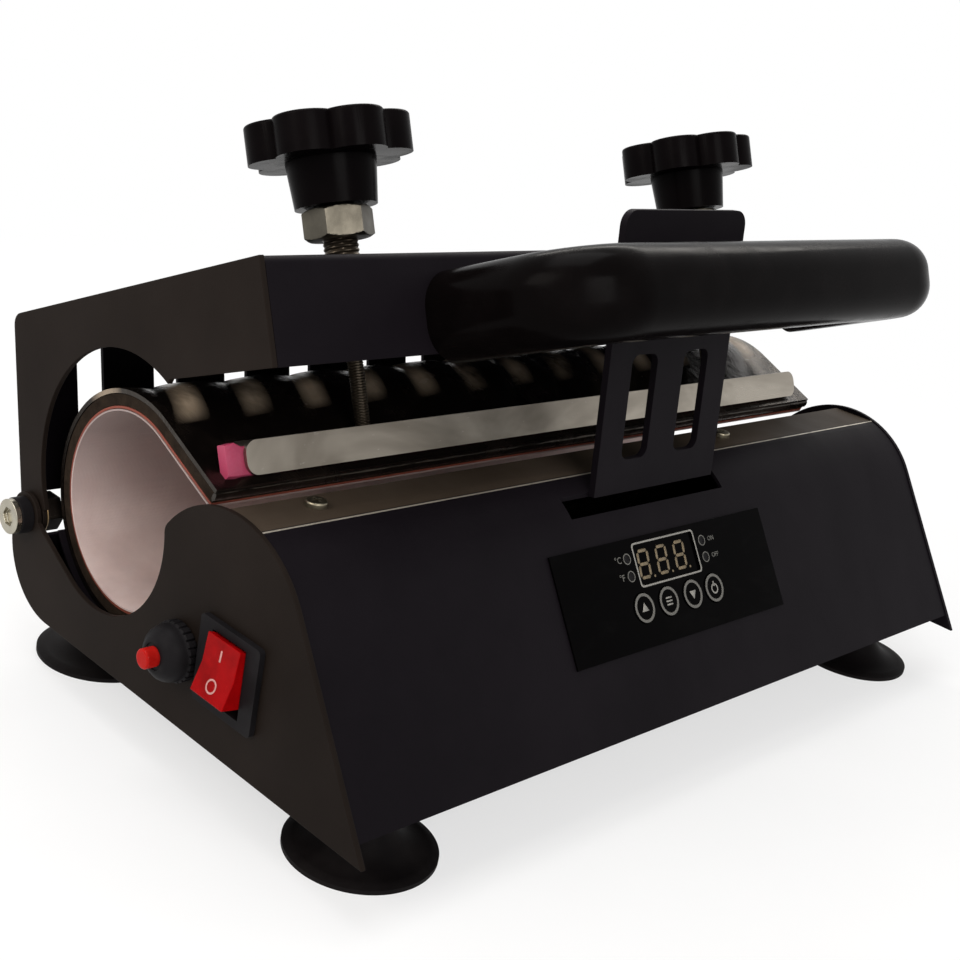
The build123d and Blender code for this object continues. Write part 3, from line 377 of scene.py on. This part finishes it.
# The panel gets a painted highlight along its lip bend and a painted lit lip behind it
panel_coat = powder_coat("black powder coat, panel", *COAT_TONES, highlight_bend_y=PANEL_BEND)
gloss_black = moulded_gloss("polished black moulding", (0.0022, 0.0016, 0.0016), 0.2, 0.12, 0.018)
knob_black = moulded_gloss("black knob moulding", (0.0026, 0.0018, 0.0020), 0.24, 0.12, 0.018)
zinc = plated_steel("zinc plating", (0.30, 0.265, 0.19))
nut_zinc = plated_steel("zinc plating, nuts", (0.115, 0.104, 0.082), 0.36)
bright_zinc = plated_steel("bright zinc plating", (0.46, 0.43, 0.35), 0.2)
dark_steel = plated_steel("darkened screw steel", (0.13, 0.105, 0.078), 0.3)
black_steel = plated_steel("blackened steel", (0.045, 0.036, 0.030), 0.32)
bar_metal = rolled_bar("rolled bar")
pink = silicone("pink silicone", shade_of(0.44, 0.050, 0.115), shade_of(0.54, 0.070, 0.155))
# The lining darkens above 66 mm with painted shade
liner_pink = silicone("wrap lining", shade_of(0.56, 0.43, 0.405), shade_of(0.72, 0.585, 0.55), 0.38, 0.03, 66.0)
heater_orange = silicone("heater edge", shade_of(0.16, 0.028, 0.015), shade_of(0.24, 0.050, 0.025), 0.6)
brown_felt = felt("pressed felt")
black_cloth = coated_cloth("coated cloth")
rubber = black_rubber("foot rubber")
red = red_moulding("red switch moulding")
red_cap = red_moulding("red button moulding", (0.46, 0.012, 0.009))
film = printed_film("control film")
white_ink = print_ink("white print", (0.34, 0.33, 0.30))
mark_ink = print_ink("switch print", (0.62, 0.30, 0.28))
grey_ink = print_ink("grey print", (0.17, 0.165, 0.15))
digit_ink = print_ink("display segments", (0.24, 0.19, 0.12), 0.06)
plastic = plain_plastic("black housing plastic", shade_of(0.006, 0.0055, 0.006), shade_of(0.011, 0.010, 0.011))
steel_core = plain_plastic("lacquered core", shade_of(0.10, 0.09, 0.08), shade_of(0.16, 0.15, 0.13), 0.35)
bronze = plated_steel("bush bronze", (0.62, 0.42, 0.20), 0.3)
board_green = laminate("board laminate")

finish_of = {
    "end_plate_left": left_lit_coat, "end_plate_right": coat, "front_panel": panel_coat, "base_pan": coat,
    "rear_cover": coat, "wrap_cradle": coat, "frame_side_left": left_lit_coat, "frame_side_right": coat,
    "frame_shell": coat, "frame_rear": coat, "latch_plate": coat, "latch_lugs": coat,
    "lip_screws": zinc, "wrap_strip": zinc,
    "foot_studs": zinc, "pivot_bolts": bright_zinc, "pivot_spacers": plastic, "pivot_nuts": black_steel,
    "handle_screws": dark_steel, "latch_pin": zinc, "rod_bosses": zinc, "inlet_screws": zinc,
    "board_standoffs": bronze, "clamp_bar": bar_metal, "handle_grip": gloss_black,
    "star_knob_left": knob_black, "star_knob_right": knob_black, "control_overlay": film,
    "key_up": film, "key_set": film, "key_down": film, "key_start": film, "display_lens": film,
    "rocker_housing": plastic, "breaker_body": plastic, "power_inlet": plastic,
    "key_switches": plastic, "led_display": plastic, "terminal_block": plastic, "solid_state_relay": plastic,
    "rocker": red, "reset_button": red_cap, "status_leds": plastic, "foot_front_left": rubber,
    "foot_front_right": rubber, "foot_rear_left": rubber, "foot_rear_right": rubber,
    "frame_bushes": bronze, "control_board": board_green, "transformer": steel_core,
}
# Width of each broken edge, in millimetres; the others have USUAL_EDGE
USUAL_EDGE = 0.35
edge_of = {"handle_grip": 0, "foot_front_left": 0, "foot_front_right": 0, "foot_rear_left": 0, "foot_rear_right": 0,
           "lip_screws": 0.12, "handle_screws": 0.12, "inlet_screws": 0.12,
           "star_knob_left": 0.25, "star_knob_right": 0.25, "frame_shell": 0.3, "key_switches": 0.1,
           "rocker": 0.5, "display_lens": 0.1, "clamp_bar": 0.3, "reset_button": 0}


def rounded_look():
    """Modifier group that shades faces smoothly but keeps edges over 30 degrees sharp."""
    group = bpy.data.node_groups.new("rounded look", "GeometryNodeTree")
    group.interface.new_socket("Mesh", in_out="INPUT", socket_type="NodeSocketGeometry")
    group.interface.new_socket("Mesh", in_out="OUTPUT", socket_type="NodeSocketGeometry")
    start = group.nodes.new("NodeGroupInput")
    end = group.nodes.new("NodeGroupOutput")
    faces = group.nodes.new("GeometryNodeSetShadeSmooth")
    edges = group.nodes.new("GeometryNodeSetShadeSmooth")
    edges.domain = "EDGE"
    bend = group.nodes.new("GeometryNodeInputMeshEdgeAngle")
    sharp = group.nodes.new("FunctionNodeCompare")
    sharp.operation = "GREATER_THAN"
    sharp.inputs[1].default_value = math.radians(30)
    group.links.new(bend.outputs[0], sharp.inputs[0])
    group.links.new(start.outputs[0], faces.inputs[0])
    group.links.new(faces.outputs[0], edges.inputs[0])
    group.links.new(sharp.outputs[0], edges.inputs["Selection"])
    edges.inputs["Shade Smooth"].default_value = False
    group.links.new(edges.outputs[0], end.inputs[0])
    return group


LOOK = rounded_look()


def soften(piece, width, sharpest=32):
    """Merge flat facets and break the sharp edges, as rolled, moulded or deburred edges are."""
    weld = piece.modifiers.new("join", "WELD")
    weld.merge_threshold = 0.000001
    merge = piece.modifiers.new("flats", "DECIMATE")
    merge.decimate_type = "DISSOLVE"
    merge.angle_limit = math.radians(0.4)
    piece.modifiers.new("look", "NODES").node_group = LOOK
    if width:
        edge = piece.modifiers.new("edge", "BEVEL")
        edge.width = width / 1000
        edge.segments = 2
        edge.limit_method = "ANGLE"
        edge.angle_limit = math.radians(sharpest)
        edge.harden_normals = True


for node_name, finish in finish_of.items():
    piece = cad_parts[node_name]
    piece.data.materials.clear()
    piece.data.materials.append(finish)
    soften(piece, edge_of.get(node_name, USUAL_EDGE), 12 if node_name == "front_panel" else 32)


# Pieces drawn in mesh code

def build(name, points, faces, finish, body, stands_for=(), slot=None):
    """A piece from points in metres, in the press's frame, that rides on one of its bodies."""
    mesh = bpy.data.meshes.new(name)
    mesh.from_pydata([tuple(p) for p in points], [], faces)
    mesh.validate()
    mesh.update()
    tidy = bmesh.new()
    tidy.from_mesh(mesh)
    bmesh.ops.recalc_face_normals(tidy, faces=tidy.faces)
    tidy.to_mesh(mesh)
    tidy.free()
    mesh.materials.append(finish)
    made = bpy.data.objects.new(name, mesh)
    bpy.context.scene.collection.objects.link(made)
    made.modifiers.new("look", "NODES").node_group = LOOK
    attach(made, body)
    if stands_for:
        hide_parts(*stands_for)
    return made


def skinned(rings):
    """Points and faces of a closed skin over rings of equally many points, with a cap at both ends."""
    points = [p for ring in rings for p in ring]
    count = len(rings[0])
    faces = []
    for row in range(len(rings) - 1):
        for k in range(count):
            a = row * count + k
            b = row * count + (k + 1) % count
            faces.append((a, b, b + count, a + count))
    faces.append(tuple(range(count - 1, -1, -1)))
    faces.append(tuple(range((len(rings) - 1) * count, len(rings) * count)))
    return points, faces


def turned(name, profile, place, finish, body, around=96, shape=None, **more):
    """A turned piece: profile is (radius, height) in millimetres, and shape may change a radius by its angle."""
    rings = []
    for radius, height in profile:
        ring = []
        for k in range(around):
            angle = 2 * math.pi * k / around
            reach = shape(radius, height, angle) if shape else radius
            ring.append(place @ Vector((reach * math.cos(angle), reach * math.sin(angle), height)))
        rings.append(ring)
    points, faces = skinned(rings)
    return build(name, points, faces, finish, body, **more)


def drawn(name, shapes, place, finish, body, out=0.0, thick=0.05):
    """Thin print: each shape is a loop of (x, y), or a pair of loops for a ring."""
    points, faces = [], []
    for shape in shapes:
        loops = shape if isinstance(shape[0], list) else [shape]
        first = len(points)
        for loop in loops:
            points += [place @ Vector((x, y, out)) for x, y in loop]
        count = len(loops[0])
        if len(loops) == 1:
            faces.append(tuple(range(first, first + count)))
        else:
            for k in range(count):
                n = (k + 1) % count
                faces.append((first + k, first + n, first + count + n, first + count + k))
    made = build(name, points, faces, finish, body)
    film_depth = made.modifiers.new("thick", "SOLIDIFY")
    film_depth.thickness = thick / 1000
    film_depth.offset = 0
    return made


def circle_loop(x, y, radius, count=40):
    return [polar((x, y), radius, 360 * k / count) for k in range(count)]


def ring_of(x, y, outer, inner):
    return [circle_loop(x, y, outer), circle_loop(x, y, inner)]


def box_loop(x, y, width, height, round_r=0.0):
    """Rectangle about its middle, with rounded corners."""
    loop = []
    for corner_x, corner_y, start in ((1, 1, 0), (-1, 1, 90), (-1, -1, 180), (1, -1, 270)):
        middle = (x + corner_x * (width / 2 - round_r), y + corner_y * (height / 2 - round_r))
        loop += [polar(middle, round_r, start + 18 * k) for k in range(6)] if round_r else [middle]
    return loop


# The heater wrap: four layers round the bore, each with a flap in front

WRAP_AT = (149.0, 56.2)
BORE = 35.6
WRAP_HALF = 178.8
LIP_AT = (87.3, 77.5)
UPPER = 113.2
FLAP = 33.8
reach_y, reach_z = WRAP_AT[0] - LIP_AT[0], WRAP_AT[1] - LIP_AT[1]
FALL = math.degrees(math.atan2(reach_z, reach_y) - math.asin(BORE / math.hypot(reach_y, reach_z)))
LOWER = FALL - 90


def wrap_line(radius, steps=96):
    """Line of a layer at one radius, from the lower flap's edge to the upper one's, each point with its angle."""
    low = polar(WRAP_AT, radius, LOWER)
    back = (low[1] - LIP_AT[1]) / math.sin(math.radians(FALL))
    first = (low[0] - back * math.cos(math.radians(FALL)), LIP_AT[1])
    line = []
    for k in range(14):
        share = k / 14
        line.append((first[0] + share * (low[0] - first[0]), first[1] + share * (low[1] - first[1]), LOWER))
    for k in range(steps + 1):
        angle = LOWER + (UPPER - LOWER) * k / steps
        line.append((*polar(WRAP_AT, radius, angle), angle))
    high = polar(WRAP_AT, radius, UPPER)
    for k in range(1, 15):
        end = polar(high, FLAP * k / 14, UPPER + 90)
        line.append((*end, UPPER + 90 * k / 14))
    return line


def wrap_layer(name, node, near, far, finish, half, relief=None, cells=60, slot=None):
    """One layer, as a closed skin; relief(x, angle, way) moves its far side outwards, in millimetres."""
    inner, outer = wrap_line(near), wrap_line(far)
    rings = []
    for station in range(cells + 1):
        x = -half + 2 * half * station / cells
        ring = []
        for y, z, angle in inner:
            ring.append(spot(x, y, z))
        for number in range(len(outer) - 1, -1, -1):
            y, z, angle = outer[number]
            lift = relief(x, angle, number / (len(outer) - 1)) if relief else 0
            out = (math.cos(math.radians(min(angle, UPPER))), math.sin(math.radians(min(angle, UPPER))))
            ring.append(spot(x, y + lift * out[0], z + lift * out[1]))
        rings.append(ring)
    points, faces = skinned(rings)
    return build(name, points, faces, finish, "base", (node,), slot)


def puckers(x, angle, way):
    """Slanting folds of the coated cloth, deepest over the top of the wrap and gone at its seams."""
    drift = 2.2 * noise.noise(Vector((x * 0.021, angle * 0.013, 3.7)))
    turn = (x + 0.30 * angle + 3.2 * drift) / 28.0
    ridge = abs(math.sin(math.pi * turn))
    fade = min(1.0, max(0.0, (angle - 12) / 40)) * min(1.0, (1 - way) * 9)
    ends = min(1.0, (WRAP_HALF - abs(x)) / 9)
    crumple = 0.22 * noise.noise(Vector((x * 0.09, angle * 0.07, 9.1)))
    return -fade * ends * (1.25 * (1 - ridge) ** 1.6 + 0.12 + crumple) - 0.05


def faint_wave(x, angle, way):
    return -0.06 - 0.08 * noise.noise(Vector((x * 0.03, angle * 0.02, 1.3)))


liner = wrap_layer("liner", "wrap_liner", BORE, BORE + 0.7, liner_pink, WRAP_HALF, faint_wave, 48, "pink_silicone")
heater = wrap_layer("heater", "wrap_heater", BORE + 0.85, BORE + 1.7, heater_orange, WRAP_HALF - 0.2, None, 24,
                    "orange_silicone")
felt_layer = wrap_layer("felt", "wrap_felt", BORE + 1.9, BORE + 6.0, brown_felt, WRAP_HALF - 0.3, faint_wave, 90,
                        "brown_felt")
cloth = wrap_layer("cloth", "wrap_skin", BORE + 6.2, BORE + 7.9, black_cloth, WRAP_HALF, puckers, 260,
                   "black_cloth")
for made, radius in ((heater, BORE + 1.3), (cloth, BORE + 7.5)):
    line = wrap_line(radius)

# The cloth is turned over the edge of the upper flap and stitched down
hem_rings = []
edge_low = wrap_line(BORE + 3.0)[-1]
edge_high = wrap_line(BORE + 6.6)[-1]
edge_out = polar((0, 0), 1.0, UPPER + 90)
edge_up = polar((0, 0), 1.0, UPPER)
for station in range(121):
    x = -WRAP_HALF + 2 * WRAP_HALF * station / 120
    middle = ((edge_low[0] + edge_high[0]) / 2, (edge_low[1] + edge_high[1]) / 2)
    half_h = math.dist(edge_low[:2], edge_high[:2]) / 2
    ring = []
    for k in range(20):
        angle = 2 * math.pi * k / 20
        wobble = 1 + 0.10 * noise.noise(Vector((x * 0.12, k * 0.6, 0.4)))
        forward = 0.9 * math.cos(angle) * wobble
        upward = half_h * math.sin(angle) * wobble
        ring.append(spot(x, middle[0] + forward * edge_out[0] + upward * edge_up[0],
                         middle[1] + forward * edge_out[1] + upward * edge_up[1]))
    hem_rings.append(ring)
build("cloth_hem", *skinned(hem_rings), black_cloth, "base", slot="black_cloth")


# Pad under the clamp bar

def frame_mm(v, u):
    """Point (Y, Z) of the frame's own plane: v back along the top, u out of it."""
    tilt = math.radians(FRAME_TILT)
    return (FRAME_AT[0] + v * math.cos(tilt) + u * math.sin(tilt),
            FRAME_AT[1] - v * math.sin(tilt) + u * math.cos(tilt))


PAD_ENDS = (-172.9, 164.9)
PAD_MIDDLE = (48.45, -62.1)
PAD_NOTCH_X = -165.6   # left of this the pad stands out past the bar, and is fuller
pad_loop = [polar((47.35, -66.2), 0.6, a) for a in (255, 225, 205, 180)]
pad_loop += [polar((47.35, -57.5), 0.6, a) for a in (180, 150, 120, 90)]
pad_loop += [polar((49.55, -57.5), 0.6, a) for a in (90, 60, 30, 0)]
pad_loop += [polar((49.55, -67.6), 0.6, a) for a in (0, -30, -60, -75)]
pad_rings = []
for station in range(91):
    x = PAD_ENDS[0] + (PAD_ENDS[1] - PAD_ENDS[0]) * station / 90
    end = min(1.0, (min(x - PAD_ENDS[0], PAD_ENDS[1] - x) + 0.15) / 0.8)
    ring = []
    for v, u in pad_loop:
        if x < PAD_NOTCH_X and u > -60:
            u += 1.5
        if x < PAD_NOTCH_X and v < 48.5:
            v -= 1.5
        v = PAD_MIDDLE[0] + (v - PAD_MIDDLE[0]) * (0.82 + 0.18 * end)
        u = PAD_MIDDLE[1] + (u - PAD_MIDDLE[1]) * (0.93 + 0.07 * end)
        sag = 0.1 * noise.noise(Vector((x * 0.05, v * 0.3, u * 0.3)))
        ring.append(spot(x, *frame_mm(v, u + sag)))
    pad_rings.append(ring)
pad = build("pad", *skinned(pad_rings), pink, "bar", ("bar_pad",), "pink_silicone")


# Threaded rods, jam nuts

def thread(pitch, depth):
    """Shape of a helical thread of a given pitch, cut into a radius."""
    def cut(radius, height, angle):
        phase = (height / pitch - angle / (2 * math.pi)) % 1
        return radius - depth * abs(2 * phase - 1) ** 1.2
    return cut


def rod_part(name, place, radius, low, high, pitch, depth, finish, body, around, **more):
    """A threaded rod from one height to another, with seven rings to each turn of the thread."""
    steps = int((high - low) / pitch * 7)
    profile = [(radius - depth, low)]
    profile += [(radius, low + 0.01 + (high - low - 0.02) * k / steps) for k in range(steps + 1)]
    profile.append((radius - depth, high))
    return turned(name, profile, place, finish, body, around, thread(pitch, depth), **more)


def six_sided(apothem, low, high):
    """A hexagon whose corners are turned down at both ends."""
    def cut(radius, height, angle):
        if radius < apothem - 0.5:
            return radius
        sector = (angle + math.pi / 6) % (math.pi / 3) - math.pi / 6
        flat = apothem / math.cos(sector)
        turned_down = apothem - 0.1 + 1.75 * min(height - low, high - height)
        return min(flat, turned_down)
    return cut


ROD_X, ROD_V = 107.0, 51.6   # the rods' place on the frame's top
for side, name in ((-1, "left"), (1, "right")):
    axis = FRAME_TOP @ Matrix.Translation((side * ROD_X, ROD_V, 0))
    body = "knob_" + name
    rod_part("sleeve_" + name, axis, 6.5, -14.0, 35.5, 1.75, 0.55, dark_steel, body, 56,
             stands_for=("threaded_rod_" + name,), slot="zinc")
    rod_part("rod_" + name, axis, 3.0, -55.1, -13.9, 1.0, 0.34, dark_steel, body, 40, slot="zinc")
    turned("rod_foot_" + name, [(2.0, -55.1), (2.0, -56.9), (3.0, -57.0), (3.2, -57.2), (3.2, -57.9), (3.0, -58.1)],
           axis, dark_steel, body, 40, slot="zinc")
    heights = [12.0 + 11.0 * k / 40 for k in range(41)]
    apothem = 13.0 * math.cos(math.pi / 6)
    nut_profile = [(6.6, 12.0)] + [(13.0, h) for h in heights] + [(6.6, 23.0)]
    turned("nut_" + name, nut_profile, axis, nut_zinc, body, 120,
           six_sided(apothem, 12.0, 23.0), stands_for=("jam_nut_" + name,), slot="zinc")


# Domed nut of the reset button

nut_out = Matrix.Translation(spot(-187.5, 98.6, 27.7)) @ Matrix.Rotation(math.radians(-90), 4, "Y")
nut_out = nut_out @ Matrix.Scale(0.001, 4)


def knurled(radius, height, angle):
    if height > 3.4 or radius < 9:
        return radius
    notch = abs((angle * 24 / (2 * math.pi)) % 1 - 0.5) * 2
    return radius - 0.75 * max(0.0, notch - 0.72) / 0.28


dome = [(6.2, 0.05), (10.3, 0.05), (10.6, 0.4), (10.6, 1.8), (10.6, 3.1), (10.1, 3.5), (9.9, 3.9), (9.9, 4.8),
        (9.7, 6.2), (9.2, 7.6), (8.4, 8.8), (7.2, 9.9), (6.0, 10.5), (5.2, 10.7), (4.7, 10.6), (4.6, 10.2)]
turned("reset_nut", dome, nut_out, plastic, "base", 144, knurled, stands_for=("breaker_nut",), slot="black_plastic")


# Print on the panel, lit display and switch marks

DISPLAY = (-8.5, 67.3)
DIGIT_LEAN = 0.10
drawn("display_outline", [[box_loop(*DISPLAY, 39.0, 17.2, 1.6), box_loop(*DISPLAY, 37.6, 15.8, 1.2)]],
      PANEL, white_ink, "base", out=0.84)


def segment(x, y, length, width, upright):
    """One bar of a digit with pointed ends."""
    half, tip = length / 2, width / 2
    loop = [(-half, 0), (-half + tip, tip), (half - tip, tip), (half, 0), (half - tip, -tip), (-half + tip, -tip)]
    if upright:
        loop = [(b, a) for a, b in loop]
    return [(x + a + DIGIT_LEAN * (y + b - DISPLAY[1]), y + b) for a, b in loop]


bars, points_lit = [], []
for number in range(3):
    x = -22.0 + 11.3 * number
    for y in (62.2, 67.3, 72.4):
        bars.append(segment(x, y, 5.2, 1.2, False))
    for y in (64.75, 69.85):
        for dx in (-2.9, 2.9):
            bars.append(segment(x + dx, y, 4.5, 1.25, True))
    points_lit.append(circle_loop(x + 4.6, 61.9, 0.5, 16))
drawn("digits", bars + points_lit, PANEL, digit_ink, "base", out=0.0)

lamps_at = [(x, s) for x in (-32.1, 15.4) for s in (63.9, 70.6)]
drawn("lamp_rings", [ring_of(x, s, 2.15, 1.75) for x, s in lamps_at], PANEL, grey_ink, "base", out=0.84)
drawn("lamp_tops", [ring_of(x, s, 1.6, 0.8) for x, s in lamps_at], PANEL, plastic, "base", out=0.72)

key_x = (-29.7, -14.6, 0.7, 14.9)
for x, name in zip(key_x, ("key_up", "key_set", "key_down", "key_start")):
    drawn(name + "_ring", [ring_of(x, 51.3, 5.6, 4.5)], PANEL, grey_ink, name + "_cap", out=1.33)
symbols = {
    "key_up": [[(-31.7, 50.0), (-27.7, 50.0), (-29.7, 53.3)]],
    "key_set": [box_loop(-14.6, 51.3 + dy, 3.6, 0.6, 0.2) for dy in (-1.3, 0.0, 1.3)],
    "key_down": [[(-1.3, 52.6), (0.7, 49.3), (2.7, 52.6)]],
    "key_start": [ring_of(14.9, 51.0, 2.1, 1.5), box_loop(14.9, 53.0, 0.65, 2.1, 0.2)],
}
for name, shapes in symbols.items():
    drawn(name + "_mark", shapes, PANEL, white_ink, name + "_cap", out=1.34)


def lettering(name, text, x, s, size, finish):
    """Print of a short generic mark on the panel, as mesh."""
    curve = bpy.data.curves.new(name, "FONT")
    curve.body = text
    curve.size = size
    curve.align_x = "CENTER"
    curve.align_y = "CENTER"
    curve.extrude = 0.02
    curve.resolution_u = 3
    holder = bpy.data.objects.new(name + "_line", curve)
    bpy.context.scene.collection.objects.link(holder)
    bpy.context.view_layer.update()
    shape = bpy.data.meshes.new_from_object(holder)
    points = [PANEL @ Vector((x + v.co.x, s + v.co.y, 0.84 + v.co.z)) for v in shape.vertices]
    faces = [tuple(f.vertices) for f in shape.polygons]
    bpy.data.objects.remove(holder)
    return build(name, points, faces, finish, "base")


lettering("celsius", "°C", -37.4, 70.6, 3.6, grey_ink)
lettering("fahrenheit", "°F", -37.4, 63.9, 3.6, grey_ink)
lettering("lamp_on", "ON", 21.4, 70.6, 2.6, grey_ink)
lettering("lamp_off", "OFF", 21.6, 63.9, 2.6, grey_ink)

rocker_pin = Matrix.Translation(spot(-183.5, 71.5, 32.0)) @ Matrix.Rotation(math.radians(13), 4, "Y")
ROCKER_RISE, ROCKER_HALF = 1.2, 10.2
rocker_slope = math.atan2(ROCKER_RISE, ROCKER_HALF)


def rocker_half(height):
    """Plane on one half of the rocker's face: local X to the front, Y up, Z out."""
    lean = rocker_slope if height > 0 else -rocker_slope
    up = Vector((-math.sin(lean), 0, math.cos(lean)))
    ahead = Vector((0, -1, 0))
    out = ahead.cross(up)
    base = Matrix((ahead, up, out)).transposed().to_4x4()
    face_x = -9.6 - abs(height) * ROCKER_RISE / ROCKER_HALF
    middle = Matrix.Translation(Vector((face_x, 0, height)) / 1000)
    return rocker_pin @ middle @ base @ Matrix.Scale(0.001, 4)


drawn("rocker_line", [box_loop(0, 0, 0.8, 4.0, 0.2)], rocker_half(5.0), mark_ink, "rocker_switch", out=0.03)
drawn("rocker_ring", [ring_of(0, 0, 2.5, 1.85)], rocker_half(-5.4), mark_ink, "rocker_switch", out=0.03)


# Camera and studio

CAMERA_AT = (-0.46304, -0.372753, 0.28199)
camera_yaw, camera_pitch, camera_roll = (math.radians(a) for a in (48.8588, 19.1187, -10.6308))
forward = Vector((math.sin(camera_yaw) * math.cos(camera_pitch), math.cos(camera_yaw) * math.cos(camera_pitch),
                  -math.sin(camera_pitch)))
right = Vector((math.cos(camera_yaw), -math.sin(camera_yaw), 0))
down = forward.cross(right)
across = math.cos(camera_roll) * right + math.sin(camera_roll) * down
below = math.cos(camera_roll) * down - math.sin(camera_roll) * right
camera = bpy.data.objects.new("camera", bpy.data.cameras.new("camera"))
bpy.context.scene.collection.objects.link(camera)
camera.data.sensor_width = 36
camera.data.lens = 56.43
camera.data.clip_start = 0.01
camera.matrix_world = (Matrix.Translation(CAMERA_AT)
                       @ Matrix((across, -below, -forward)).transposed().to_4x4())
bpy.context.scene.camera = camera


def lamp(name, at, towards, size, power, tint=(1, 1, 1)):
    """A softbox at a place, turned towards another."""
    light = bpy.data.lights.new(name, "AREA")
    light.shape = "RECTANGLE"
    light.size, light.size_y = size
    light.energy = power
    light.color = tint
    thing = bpy.data.objects.new(name, light)
    bpy.context.scene.collection.objects.link(thing)
    thing.location = at
    thing.rotation_euler = (Vector(towards) - Vector(at)).to_track_quat("-Z", "Y").to_euler()


lamp("top softbox", (-0.1, 0.25, 1.25), (0, 0, 0.1), (0.9, 0.7), 9)
lamp("front softbox", (-0.55, -1.15, 0.85), (0, 0, 0.08), (0.7, 0.5), 7, (1, 0.97, 0.95))
lamp("left softbox", (-1.1, 0.12, 0.8), (0, 0, 0.08), (0.6, 0.6), 6, (1, 0.93, 0.86))
lamp("rim strip", (0.75, 0.55, 0.85), (0, 0, 0.1), (1.1, 0.16), 5, (1, 0.96, 0.9))

world = bpy.data.worlds.new("studio")
bpy.context.scene.world = world
world.use_nodes = True
sky = world.node_tree
sky.nodes.clear()
path = sky.nodes.new("ShaderNodeLightPath")
seen = sky.nodes.new("ShaderNodeMath")
seen.operation = "MAXIMUM"
mirrored = sky.nodes.new("ShaderNodeMath")
mirrored.operation = "MAXIMUM"
sky.links.new(path.outputs["Is Camera Ray"], seen.inputs[0])
sky.links.new(path.outputs["Is Glossy Ray"], mirrored.inputs[0])
sky.links.new(path.outputs["Is Transmission Ray"], mirrored.inputs[1])
sky.links.new(mirrored.outputs[0], seen.inputs[1])
dim = sky.nodes.new("ShaderNodeBackground")
dim.inputs["Color"].default_value = (1, 1, 1, 1)
dim.inputs["Strength"].default_value = 0.45
white = sky.nodes.new("ShaderNodeBackground")
white.inputs["Color"].default_value = (1, 1, 1, 1)
choose = sky.nodes.new("ShaderNodeMixShader")
sky_end = sky.nodes.new("ShaderNodeOutputWorld")
sky.links.new(seen.outputs[0], choose.inputs[0])
sky.links.new(dim.outputs[0], choose.inputs[1])
sky.links.new(white.outputs[0], choose.inputs[2])
sky.links.new(choose.outputs[0], sky_end.inputs["Surface"])
bpy.context.scene.view_settings.view_transform = "Standard"


def studio_floor():
    """A pale floor that runs out into the white background and keeps the press's shadow."""
    f = Finish("studio floor")
    here = f.node("ShaderNodeTexCoord", out="Object")
    grain = f.cloud(0.02, 4)
    tone = f.blend(grain, shade_of(0.80, 0.80, 0.80), shade_of(0.86, 0.86, 0.86))
    paper = f.node("ShaderNodeBsdfDiffuse", None, {"Color": tone})
    glow = f.node("ShaderNodeEmission", None, {"Color": shade_of(1, 1, 1), "Strength": 1.0})
    distance = f.node("ShaderNodeVectorMath", {"operation": "LENGTH"}, {0: here}, out="Value")
    share = f.spread(distance, 0.30, 0.75)
    mixed = f.node("ShaderNodeMixShader", None, {0: share * 0.35 + 0.65, 1: paper, 2: glow})
    f.node_out(mixed)
    mesh = bpy.data.meshes.new("floor")
    side = 6.0
    mesh.from_pydata([(-side, -side, 0), (side, -side, 0), (side, side, 0), (-side, side, 0)], [], [(0, 1, 2, 3)])
    floor = bpy.data.objects.new("floor", mesh)
    bpy.context.scene.collection.objects.link(floor)
    mesh.materials.append(f.material)


studio_floor()
